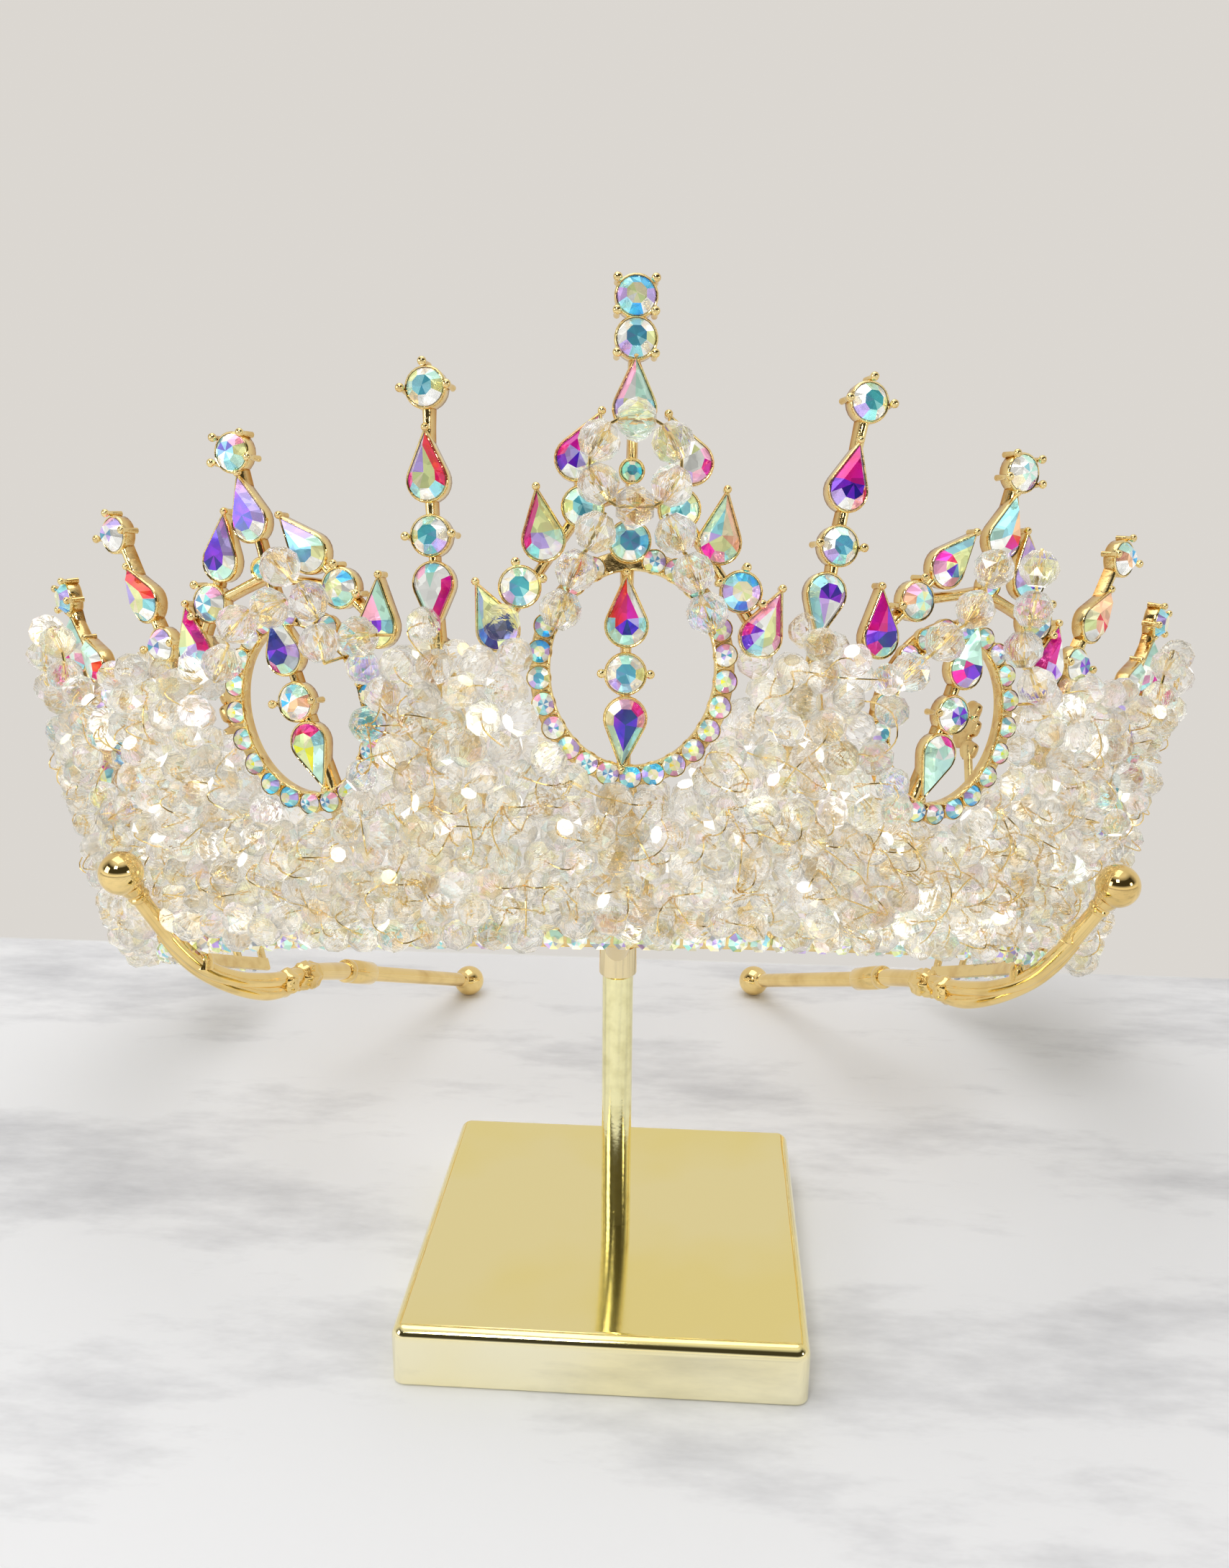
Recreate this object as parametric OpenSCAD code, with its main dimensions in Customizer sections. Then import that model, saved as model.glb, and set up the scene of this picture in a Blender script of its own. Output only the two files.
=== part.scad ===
// Rhinestone tiara on its plain display stand.
// The stand's plate rests on the table. The tiara leans back from the post's collar on two side rods.
// Motif coordinates: x runs along the wall away from the centre, y up the wall, z out of it.

/* [Stand] */
// Side of the square base plate
plate_side = 60; // [50:1:80]
// Thickness of the base plate
plate_t = 9.3; // [6:0.1:14]
// Bevel round the top of the base plate
plate_bevel = 1.0; // [0.4:0.1:2]
// Sideways place of the post on the plate
post_x = 0.5; // [0:0.1:1]
// Diameter of the post
post_d = 4.7; // [4:0.1:5]
// Gap between the collar's ears and the band's lower edge
band_rest_gap = 0.13; // [0.12:0.01:0.18]
// Diameter of the collar
collar_d = 5.7; // [5.4:0.1:6]
// Height of the collar
collar_h = 4.9; // [4:0.1:6]
// Radius of the notch across the collar's top
notch_r = 1.9; // [1.6:0.1:2.1]

/* [Tiara placement] */
// Sideways place of the band's front above the plate
front_x = 1.4; // [1.2:0.1:1.6]
// Fore and aft place of the band's front
front_y = -2; // [-2.2:0.1:-1.8]
// Height of the band's front above the table
front_z = 57; // [57:0.05:57.1]
// Turn of the tiara about the post
turn = 6; // [4:0.5:8]
// Lean of the tiara down to the rear
tilt = 26; // [25.9:0.05:26.1]
// Lean of the tiara down to its right-hand side
roll = 1.2; // [0.6:0.1:1.6]

/* [Wall] */
// Radius of the band at the front
front_r = 105; // [100:1:110]
// Radius of the band at the sides
side_r = 70; // [66:1:74]
// Radius of the band at the rear ends
rear_r = 60; // [55:1:65]
// Outward lean of the wall at the band, in degrees
lean_0 = 23.7; // [20:0.1:28]
// Radius of the wall's curve from band to tip
profile_r = 392; // [350:1:440]
// Length of the band from its front to each end
band_half = 165; // [160:1:168]
// Thickness of the band
band_t = 1.2; // [0.8:0.1:1.6]
// Height of the band
band_h = 3; // [2.6:0.1:3.2]

/* [Stones] */
// Radius of a round stone
round_r = 2.75; // [2.5:0.05:2.8]
// Radius of a pear stone's round end
pear_r = 2.85; // [2.6:0.05:2.9]
// Distance from a pear's round centre to its tip
pear_tip = 6.9; // [6:0.1:7.2]
// Radius of a small stone
small_r = 1.5; // [1.3:0.05:1.55]
// Width of the metal rim round a stone
rim_w = 0.4; // [0.3:0.05:0.5]
// Gap between a stone and its cup
stone_gap = 0.05; // [0.05:0.01:0.1]

/* [Beads] */
// Diameter of a bead across its thread
bead_d = 5.9; // [5:0.1:6]
// Length of a bead along its thread
bead_len = 4.9; // [4:0.1:5]
// Height of the garland beads off the wall
garland_z = 7; // [7:0.1:8]
// Height of the woven beads' face off the wall
field_z = 7.3; // [6:0.1:8]
// Radius of the thread
thread_r = 0.25; // [0.2:0.05:0.3]

/* [Rods] */
// Turn of both rods against the band
rod_turn = -1.2; // [-1.6:0.1:-0.8]
// Radius of the curved rod
rod_r = 1.5; // [1.3:0.05:1.6]
// Radius of the ball at the rod's front end
front_ball_r = 3.6; // [3.4:0.05:4]
// Radius of the ball at the rod's rear end
rear_ball_r = 3.5; // [3.3:0.05:3.6]

/* [Hidden] */
$fn = 48;
deg = 180 / PI;
band_v0 = 0.3;
field_bottom = band_v0 + band_h + 0.1;
field_top = 44.5;
floor_z = 1.3;
metal_z0 = 0.2;
metal_z1 = 2.6;
strut_z0 = -1.1;
strut_z1 = 0.2;
pillar_z = 1.9;

// Headings at which the band's three arcs meet, and the lengths up to them
h_side = 30;
h_rear = 100;
u_side = front_r * h_side / deg;
u_rear = u_side + side_r * (h_rear - h_side) / deg;

ROUND = 0;
PEAR = 1;
SMALL = 2;

// Columns: kind, x, y, clockwise turn of the pear's tip
centre_stones = [
    [ROUND, -0.4, 40, 0], [ROUND, -0.3, 34.2, 0], [PEAR, -0.3, 24.5, 0],
    [PEAR, -8.4, 17.3, 27], [PEAR, 8, 17.1, -27], [SMALL, -0.5, 15.8, 0],
    [ROUND, -7.4, 10.6, 0], [ROUND, 6.4, 10.6, 0], [ROUND, -0.6, 5.9, 0],
    [PEAR, -12.9, 5.8, -9], [PEAR, 12.3, 6, 7], [ROUND, -16.2, -0.9, 0],
    [ROUND, 15.6, -0.9, 0], [PEAR, -19.2, -7.1, -26], [PEAR, 18.6, -7.3, 23],
    [PEAR, -0.8, -6.1, -1], [ROUND, -0.8, -13, 0], [PEAR, -0.7, -19.4, 183]];
left_spire_stones = [
    [ROUND, -0.4, 18.3, 0], [PEAR, -0.1, 5.1, 0], [ROUND, -0.2, -2.8, 0], [PEAR, -0.3, -9.6, 178]];
right_spire_stones = [
    [ROUND, 3.6, 18.4, 0], [PEAR, 1.4, 5.3, 10], [ROUND, 0.8, -2.8, 0], [PEAR, -0.6, -9.9, 188]];
side_stones = [
    [ROUND, 7.1, 27.8, 0], [PEAR, 5.4, 17.2, 9], [PEAR, -4.4, 11.4, 36], [PEAR, 11.6, 12, -14],
    [ROUND, -9, 5.7, 0], [ROUND, 14.4, 5.9, 0], [PEAR, -14.6, -0.6, -9], [PEAR, 18.2, -1.2, 6],
    [SMALL, 4.3, 10, 0], [PEAR, 2, -3.2, 8], [ROUND, 0.9, -10.4, 0], [PEAR, -0.6, -16.6, 195]];
outer_spire_stones = [[ROUND, 8.1, 13, 0], [PEAR, 2.6, 0.7, 28], [ROUND, 0.2, -6.6, 0]];
end_stones = [
    [ROUND, 3.6, 16.6, 0], [PEAR, 2.1, 6.2, 9], [PEAR, -6.4, 1.8, 34], [PEAR, 9.6, 2.2, -20],
    [ROUND, -11, -4, 0], [ROUND, 13, -4, 0], [SMALL, 1.6, -0.2, 0], [ROUND, 0.4, -9.6, 0],
    [PEAR, -0.4, -16, 190]];

// Columns: centre x, centre y, half width, half height and clockwise lean of the opening
centre_oval = [0.2, -12.2, 11.9, 14.0, 0];
side_oval = [0, -11.6, 10.3, 12.8, 12];
end_oval = [0, -14.5, 7.6, 8.6, 12];
ring_w = 3.3;

// Columns: x and y of bars between the settings, from and to
centre_bars = [[-0.5, 3, -0.4, 38], [-0.8, 2, -0.7, -26.5], [-0.5, 13, -7.4, 10.6], [-0.5, 13, 6.4, 10.6],
    [-7.4, 10.6, -8.4, 17.3], [6.4, 10.6, 8, 17.1], [-7.4, 10.6, -19.2, -7.1], [6.4, 10.6, 18.6, -7.3]];
side_bars = [[2.2, 1, 7, 27], [3.3, 1.5, -3.7, -24.6], [4, 9, -9, 5.7], [4, 9, 14.4, 5.9],
    [-9, 5.7, -4.4, 12], [14.4, 5.9, 11.6, 12.4], [-9, 5.7, -14.6, -0.6], [14.4, 5.9, 18.2, -1.2]];
end_bars = [[0.4, -4, 3.6, 15.7], [0.8, -5, -2.2, -23.6], [1, -1.5, -11, -4], [1, -1.5, 13, -4],
    [-11, -4, -6.4, 1.8], [13, -4, 9.6, 2.2]];
spire_bars_left = [[-0.4, -19.5, -0.1, 5], [-0.1, 5, -0.4, 17]];
spire_bars_right = [[-0.6, -19.5, 0.8, -2], [0.8, -2, 3.5, 17]];
outer_spire_bars = [[-0.8, -12.6, 0.2, -6.3], [0.2, -6.3, 7.9, 13]];

// Columns: place along the wall, reference height, and the sign of the side
centre_place = [0, 55, 1];
spire_u = 24.5;
spire_v = 65;
side_u = 44;
side_v = 50;
outer_spire_u = 66;
outer_spire_v = 58;
end_u = 88;
end_v = 50;

// Columns: x and y of the beads of one strand; the centre and end motifs also have a ring of beads
centre_strands = [[[-5.6, 6.6], [-8.2, 1.3], [-10.3, -4.2]], [[5.6, 6.6], [8.2, 1.3], [10.3, -4.2]]];
left_strands = [[[9.9, -3.6], [6.4, 1.9], [0.3, 3.7]], [[-2.4, 9.4], [-6.6, 4], [-7.6, -2.2]], [[-14.2, -2]]];
right_strands = [[[12.2, -4.2], [8.4, 0.9], [9.1, 7.1], [9, 13.3]],
    [[0.4, 11.9], [-1.9, 5.5], [-6.6, 0], [-11.9, -5.2]]];
// Columns: x, y, radius and number of beads of the ring
centre_ring = [-0.2, 16.2, 5.9, 6];
end_ring = [2.4, 4.8, 5.9, 6];
// Columns: x and y where a leg leaves its thread, then x and y where it meets the metal
centre_legs = [[-3.4, 10.7, -3.1, 11.7], [3, 10.7, 2.6, 11.6], [-11.35, -6.97, -11.6, -7.2], [11.35, -6.97, 11.6, -7.2]];
left_legs = [[11.54, -6.17, 12.2, -4.5], [-8.09, -5.21, -8.45, -4.5], [-17.25, -2, -17.37, -2.06]];
right_legs = [[14.02, -6.65, 13, -7.3], [-0.5, 8.6, -0.5, 8], [-14.08, -7.34, -12.5, -7.1]];
end_legs = [[-0.8, -0.7, -0.9, -1.6], [5.6, -0.7, 5.5, -2.2]];

// Rear ornament above each end of the band, a few round lobes. Columns: x, y and radius
rear_lobe_v = 67;
rear_lobes = [[3, -5, 2.6], [5.6, -1, 2.9], [6.6, 3.6, 2.6], [3.6, 6, 2.8], [3.2, 1.2, 2.8]];

// Columns: x, y, z and radius of the curved rod in the band's own frame
rod_route = [
    [81, 12.2, 12.1, 1.1], [79.6, 15, 9.6, 1.4], [77.4, 19.2, 5.7, rod_r], [74.7, 23.9, 1.4, rod_r],
    [71.4, 29, -2.2, rod_r], [67.6, 35, -3.9, rod_r], [64.2, 41, -4, rod_r], [61.6, 46.6, -3.4, rod_r],
    [59.6, 51.4, -2.4, 1.6], [57.8, 57, -1.6, 1.7], [54.5, 70, -0.9, 1.8]];
lobe_route = [
    [77.2, 21.6, 2.8, 0.5], [74.8, 25.8, -0.4, 1], [71.8, 30.4, -3.2, 1.2], [67.6, 36.2, -5.3, 1.4],
    [63.8, 42.6, -6, 1.5], [61.2, 48, -5, 1.3], [59.4, 52.6, -3.4, 0.8]];
rear_ball = [34.4, 121];
sleeve_end = [51.2, 78.5, -1];

// Heading of the band, in degrees, at a length u from its front
function heading(u) =
    u <= u_side ? u / front_r * deg :
    u <= u_rear ? h_side + (u - u_side) / side_r * deg :
    h_rear + (u - u_rear) / rear_r * deg;

function outward(h) = [sin(h), -cos(h)];

// Height of the collar's top, just under the band's lower edge
collar_top = front_z + rise(band_v0) * cos(tilt) + shift(band_v0) * sin(tilt) - band_rest_gap;

// Centres of the band's three arcs
c_front = [0, front_r];
c_side = c_front + (front_r - side_r) * outward(h_side);
c_rear = c_side + (side_r - rear_r) * outward(h_rear);

function plan(u) =
    u <= u_side ? c_front + front_r * outward(heading(u)) :
    u <= u_rear ? c_side + side_r * outward(heading(u)) :
    c_rear + rear_r * outward(heading(u));

// Lean, outward shift and rise of the wall at a distance v up it
function lean(v) = lean_0 - v / profile_r * deg;
function shift(v) = profile_r * (cos(lean(v)) - cos(lean_0));
function rise(v) = profile_r * (sin(lean_0) - sin(lean(v)));

// Point at u along, v up and z off the right-hand wall
function wall(u, v, z = 0) =
    let (p = plan(u), n = outward(heading(u)), o = shift(v) + z * cos(lean(v)))
    [p.x + n.x * o, p.y + n.y * o, rise(v) - z * sin(lean(v))];

function mirrored(p, s) = [s * p.x, p.y, p.z];

module tiara() {
    translate([front_x, front_y, front_z]) rotate([0, 0, turn]) rotate([-tilt, 0, 0]) rotate([0, roll, 0])
        children();
}

// Height in the band's frame at which a rear ball just touches the table, on side s
function rear_z(s) =
    let (x = s * rear_ball.x * cos(rod_turn) - rear_ball.y * sin(rod_turn),
        y = s * rear_ball.x * sin(rod_turn) + rear_ball.y * cos(rod_turn))
    ((rear_ball_r - front_z + y * sin(tilt)) / cos(tilt) + x * sin(roll)) / cos(roll);

module side(s) {
    if (s < 0) mirror([1, 0, 0]) children();
    else children();
}

// Children stand in the plane that touches the wall at u, v
module on_wall(u, v) {
    translate(wall(u, v)) rotate([0, 0, heading(u)]) rotate([90 + lean(v), 0, 0]) children();
}

module placed(place) {
    tiara() side(place[2]) on_wall(place[0], place[1]) children();
}

// Outline of a pear with its round end at the origin and its tip up, grown by g
function pear_points(g, n) =
    let (r = pear_r + g, tip = pear_tip + g * pear_tip / pear_r, t = acos(r / tip))
    concat([[0, tip]], [for (i = [0:n - 2]) let (a = 90 + t + i * (360 - 2 * t) / (n - 2))
        [r * cos(a), r * sin(a)]]);
function round_points(r, n) = [for (i = [0:n - 1]) r * [cos((i + 0.5) * 360 / n), sin((i + 0.5) * 360 / n)]];
function oval_points(oval, g, n = 40) = [for (i = [0:n - 1]) oval_at(oval, g, i * 360 / n)];
function oval_at(oval, g, a) =
    let (x = (oval[2] + g) * cos(a), y = (oval[3] + g) * sin(a), t = oval[4])
    [oval[0] + x * cos(t) + y * sin(t), oval[1] - x * sin(t) + y * cos(t)];

module setting_outline(row, g) {
    translate([row[1], row[2]]) rotate([0, 0, -row[3]]) {
        if (row[0] == PEAR) polygon(pear_points(g, 18));
        else circle(r = (row[0] == ROUND ? round_r : small_r) + g);
    }
}

module bar_outline(bar, w) {
    d = [bar[2] - bar[0], bar[3] - bar[1]];
    translate([bar[0], bar[1]]) rotate([0, 0, atan2(d.y, d.x)]) translate([0, -w / 2]) square([norm(d), w]);
}

// Solid between rings of one outline, each ring scaled about c. Rings: scale, z
module cut(points, c, rings) {
    n = len(points);
    m = len(rings);
    polyhedron(
        points = [for (r = rings, p = points) [c.x + (p.x - c.x) * r[0], c.y + (p.y - c.y) * r[0], r[1]]],
        faces = concat(
            [[for (k = [0:n - 1]) k]],
            [[for (k = [n - 1:-1:0]) (m - 1) * n + k]],
            [for (j = [0:m - 2], k = [0:n - 1])
                [j * n + k, (j + 1) * n + k, (j + 1) * n + (k + 1) % n, j * n + (k + 1) % n]]));
}

module stone(row) {
    z = floor_z + stone_gap;
    translate([row[1], row[2], z]) rotate([0, 0, -row[3]]) {
        if (row[0] == PEAR)
            cut(pear_points(0, 10), [0, 0.9], [[0.5, 0], [0.99, 0.9], [1, 1.2], [0.5, 2.5]]);
        if (row[0] == ROUND)
            cut(round_points(round_r, 8), [0, 0], [[0.5, 0], [0.99, 0.9], [1, 1.2], [0.55, 2.5]]);
        if (row[0] == SMALL)
            cut(round_points(small_r, 8), [0, 0], [[0.6, 0], [1, 0.9], [0.5, 1.9]]);
    }
}

// Rim stones lie along the lower arc of an opening, n of them, at equal angles of step degrees
function rim_rows(oval, n, step) = [for (i = [0:n - 1])
    let (p = oval_at(oval, ring_w / 2, -90 + (i - (n - 1) / 2) * step)) [SMALL, p.x, p.y, 0]];

module prong(x, y, r = 0.55) {
    translate([x, y, metal_z0 + 0.1]) cylinder(h = metal_z1 - metal_z0 + 0.5, r = r);
    translate([x, y, metal_z1 + 0.6]) sphere(r = r + 0.1);
}

// Prongs round a round stone, at the given angles
module prongs(row, angles) {
    for (a = angles) prong(row[1] + (round_r + 0.75) * cos(a), row[2] + (round_r + 0.75) * sin(a));
}

// Cast metal of one motif: settings, bars and an optional oval ring, with a pocket for each stone
module motif_metal(stones, bars, oval, rims) {
    difference() {
        translate([0, 0, metal_z0]) linear_extrude(metal_z1 - metal_z0) {
            for (row = stones) setting_outline(row, rim_w + stone_gap);
            for (bar = bars) bar_outline(bar, 1.5);
            if (oval != undef) difference() {
                polygon(oval_points(oval, ring_w));
                polygon(oval_points(oval, 0));
            }
        }
        translate([0, 0, floor_z]) linear_extrude(5) {
            for (row = concat(stones, rims)) setting_outline(row, stone_gap);
        }
    }
}

// Strut on the wall from u0, v0 up to u1, v1, with a pillar that reaches the motif's plate
module strut(u0, v0, u1, v1, pillar = true) {
    um = (u0 + u1) / 2;
    vm = (v0 + v1) / 2;
    h = heading(um);
    on_wall(um, vm) {
        translate([0, 0, strut_z0]) linear_extrude(strut_z1 - strut_z0)
            bar_outline([u0 - um, v0 - vm, u1 - um, v1 - vm], 1.6);
    }
    if (pillar) on_wall(u1, v1) translate([0, 0, strut_z0]) cylinder(h = pillar_z - strut_z0, r = 1.1);
}

// Strip along the band between two heights, as three turned arcs and their mirror images
module strip(v0, v1, from = 0) {
    module profile(r) {
        polygon([
            [r + shift(v0), rise(v0)], [r + shift(v1), rise(v1)],
            [r + shift(v1) - band_t * cos(lean_0), rise(v1) + band_t * sin(lean_0)],
            [r + shift(v0) - band_t * cos(lean_0), rise(v0) + band_t * sin(lean_0)]]);
    }
    if (from < u_side) translate(c_front) rotate_extrude(angle = 2 * h_side, start = -90 - h_side, $fn = 96)
        profile(front_r);
    for (s = [-1, 1]) side(s) {
        h0 = max(h_side, heading(from));
        translate(c_side) rotate_extrude(angle = h_rear - h0 + 0.01, start = h0 - 90.01, $fn = 96)
            profile(side_r);
        translate(c_rear) rotate_extrude(angle = heading(band_half) - h_rear, start = h_rear - 90, $fn = 96)
            profile(rear_r);
    }
}

// Tube through points whose fourth value is the radius; ref is a direction it never takes
function tube_ring(p, i, n, ref, closed) =
    let (m = len(p), a = p[closed ? (i + m - 1) % m : max(i - 1, 0)],
        b = p[closed ? (i + 1) % m : min(i + 1, m - 1)],
        t = [b.x - a.x, b.y - a.y, b.z - a.z] / norm([b.x - a.x, b.y - a.y, b.z - a.z]),
        s = cross(t, ref) / norm(cross(t, ref)), w = cross(s, t))
    [for (k = [0:n - 1]) [p[i].x, p[i].y, p[i].z] + p[i][3] * (cos(k * 360 / n) * s + sin(k * 360 / n) * w)];
module tube(p, n, ref, closed = false) {
    m = len(p);
    last = closed ? m - 1 : m - 2;
    polyhedron(
        points = [for (i = [0:m - 1]) each tube_ring(p, i, n, ref, closed)],
        faces = concat(
            closed ? [] : [[for (k = [n - 1:-1:0]) k], [for (k = [0:n - 1]) (m - 1) * n + k]],
            [for (i = [0:last], k = [0:n - 1]) let (j = (i + 1) % m, l = (k + 1) % n)
                each [[i * n + k, i * n + l, j * n + l], [i * n + k, j * n + l, j * n + k]]]));
}

// Bar of half width s with its two top edges bevelled
module bevelled_bar(s) {
    translate([0, s, 0]) rotate([90, 0, 0]) linear_extrude(2 * s)
        polygon([[-s, 0], [s, 0], [s, plate_t - plate_bevel], [s - plate_bevel, plate_t],
            [plate_bevel - s, plate_t], [-s, plate_t - plate_bevel]]);
}

module base_plate() {
    s = plate_side / 2;
    color("khaki") intersection() {
        bevelled_bar(s);
        rotate([0, 0, 90]) bevelled_bar(s);
    }
}

module post() {
    end_gap = 0.02;
    foot = plate_t + end_gap;
    top = collar_top - collar_h - end_gap;
    color("khaki") translate([post_x, 0, foot]) cylinder(h = top - foot, d = post_d);
}

module post_collar() {
    bevel = 0.4;
    color("khaki") translate([post_x, 0, collar_top - collar_h]) difference() {
        union() {
            translate([0, 0, bevel]) cylinder(h = collar_h - bevel, d = collar_d);
            cylinder(h = bevel, d1 = collar_d - 2 * bevel, d2 = collar_d);
        }
        translate([0, 0, collar_h + 0.3]) rotate([90, 0, 0]) cylinder(h = 12, r = notch_r, center = true);
    }
}

// Cylinder or cone from a to b
module between(a, b, r1, r2) {
    d = b - a;
    translate(a) rotate([0, acos(d.z / norm(d)), atan2(d.y, d.x)]) cylinder(h = norm(d), r1 = r1, r2 = r2);
}

module side_rod(s) {
    last = rod_route[len(rod_route) - 1];
    joint = [last.x, last.y, last.z];
    ball = [rear_ball.x, rear_ball.y, rear_z(s)];
    lug_u = 79;
    lug = wall(lug_u, band_v0, -band_t / 2);
    color("gold") tiara() union() {
        rotate([0, 0, rod_turn]) side(s) {
            tube(rod_route, 12, [1, 0, 0.2]);
            tube(lobe_route, 10, [1, 0, 0.2]);
            translate([rod_route[0].x, rod_route[0].y, rod_route[0].z]) sphere(r = front_ball_r);
            between([59.9, 50.6, -3], [58.4, 55, -2.2], 2.8, 2.8);
            between([61.9, 45.9, -4.2], [60.9, 48.3, -3.8], 2.6, 2.6);
            between(joint - 0.12 * (sleeve_end - joint), sleeve_end, 2.4, 2.4);
            between(sleeve_end - 0.02 * (ball - sleeve_end), ball, 1.6, 1.6);
            translate(ball) sphere(r = rear_ball_r);
        }
        side(s) between([lug.x, lug.y, lug.z - 3.2], [lug.x, lug.y, lug.z - 0.45], 1.5, 1.3);
    }
}

module side_metal() {
    on_wall(side_u, side_v) {
        motif_metal(side_stones, side_bars, side_oval, rim_rows(side_oval, 13, 17));
        prongs(side_stones[0], [45, 135, 200, 340]);
        prongs(side_stones[10], [0, 180]);
    }
    on_wall(outer_spire_u, outer_spire_v) {
        motif_metal(outer_spire_stones, outer_spire_bars, undef, []);
        prongs(outer_spire_stones[0], [0, 90, 180]);
        prongs(outer_spire_stones[2], [0, 180]);
    }
    on_wall(end_u, end_v) {
        motif_metal(end_stones, end_bars, end_oval, rim_rows(end_oval, 11, 21));
        prongs(end_stones[0], [45, 135, 200, 340]);
    }
    strut(18, 2, spire_u - 0.4, 46.6);
    strut(31, 2, spire_u - 0.4, 46.6);
    strut(side_u - 7, 2, side_u - 2.4, 23.6);
    strut(side_u + 4, 2, side_u - 2.4, 23.6);
    strut(outer_spire_u, 2, outer_spire_u - 0.7, 45.6);
    strut(end_u - 6, 2, end_u - 1.6, 24.8);
    strut(end_u + 4, 2, end_u - 1.6, 24.8);
    for (u = [108, 124, 140, 156, band_half - 1]) strut(u, 2, u, 41.6, false);
    strut(band_half - 1, 41, band_half + 2.5, rear_lobe_v - 4, false);
    on_wall(band_half, rear_lobe_v) translate([0, 0, strut_z0]) linear_extrude(2.4)
        for (p = rear_lobes) translate([p[0], p[1]]) circle(r = p[2]);
}

module tiara_frame() {
    color("darkgoldenrod") tiara() union() {
        strip(band_v0, band_v0 + band_h);
        strip(40, 42.4, 104);
        on_wall(centre_place[0], centre_place[1]) {
            motif_metal(centre_stones, centre_bars, centre_oval, rim_rows(centre_oval, 13, 14));
            prongs(centre_stones[0], [40, 140, 220, 320]);
            prongs(centre_stones[1], [220, 320]);
            prongs(centre_stones[16], [0, 180]);
        }
        side(-1) strut(4, 2, 0.2, 26.9);
        strut(4, 2, 0.2, 26.9);
        side(-1) on_wall(spire_u, spire_v) {
            motif_metal(left_spire_stones, spire_bars_left, undef, []);
            prongs(left_spire_stones[0], [0, 90, 180]);
            prongs(left_spire_stones[2], [0, 180]);
        }
        on_wall(spire_u, spire_v) {
            motif_metal(right_spire_stones, spire_bars_right, undef, []);
            prongs(right_spire_stones[0], [0, 90, 180]);
            prongs(right_spire_stones[2], [0, 180]);
        }
        for (s = [-1, 1]) side(s) side_metal();
    }
}

// Bead with its thread hole along x
module bead() {
    r = bead_d / 2;
    h = bead_len / 2;
    rotate([0, 90, 0]) rotate_extrude(angle = 360)
        polygon([[0.5, -h], [0.5 * r, -h], [r, -0.25 * h], [r, 0.25 * h], [0.5 * r, h], [0.5, h]]);
}

// Places of a strand's beads: x, y and direction. A ring's beads follow its circle
function strand_beads(p) = [for (i = [0:len(p) - 1])
    let (a = p[max(i - 1, 0)], b = p[min(i + 1, len(p) - 1)]) [p[i].x, p[i].y, atan2(b.y - a.y, b.x - a.x)]];
function ring_beads(ring) = [for (i = [0:ring[3] - 1])
    let (a = (i + 0.5) * 360 / ring[3]) [ring[0] + ring[2] * cos(a), ring[1] + ring[2] * sin(a), a + 90]];
function thread_points(beads, past_bead) = [for (b = beads, e = [-1, 1])
    let (h = bead_len / 2 + past_bead) [b[0] + e * h * cos(b[2]), b[1] + e * h * sin(b[2]), garland_z, thread_r]];

module beads(list) {
    for (b = list) translate([b[0], b[1], garland_z]) rotate([0, 0, b[2]]) bead();
}

// Thread of a garland: a closed ring, if any, and open strands, with legs down to the metal behind them
module threads(ring, strands, legs) {
    if (len(ring) > 0) tube(thread_points(ring_beads(ring), 0.1), 6, [0, 0, 1], true);
    for (p = strands) tube(thread_points(strand_beads(p), 0.6), 6, [0, 0, 1]);
    for (l = legs) between([l[0], l[1], garland_z], [l[2], l[3], metal_z1 + 3 * stone_gap], thread_r, thread_r);
}

// Lower edge of an oval's metal at a distance x from its centre, or the field's top beside it
function under_oval(oval, v, x) =
    let (a = oval[2] + ring_w + 0.5, b = oval[3] + ring_w + 0.5, t = oval[4],
        w = sqrt(pow(a * cos(t), 2) + pow(b * sin(t), 2)), d = x - oval[0])
    abs(d) >= w ? field_top :
        min(field_top, v + oval[1] + (d * (b * b - a * a) * sin(t) * cos(t) - a * b * sqrt(w * w - d * d)) / (w * w));
function field_edge(u) = min(under_oval(centre_oval, centre_place[1], u),
    under_oval(side_oval, side_v, u - side_u), u > 130 ? field_top - (u - 130) * 0.12 : field_top);
// How far the field stands forward, 0 to 1, where it passes in front of the end motif's opening
function forward(u, f) = max(0, min(1, (16 - abs(u - end_u)) / 4)) * min(1, 2 * f);
// The field's foot rises where the curved rod passes in front of it
function field_foot(u) = field_bottom + 4.6 * max(0, 1 - pow((u - 79) / 15, 2));

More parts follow.
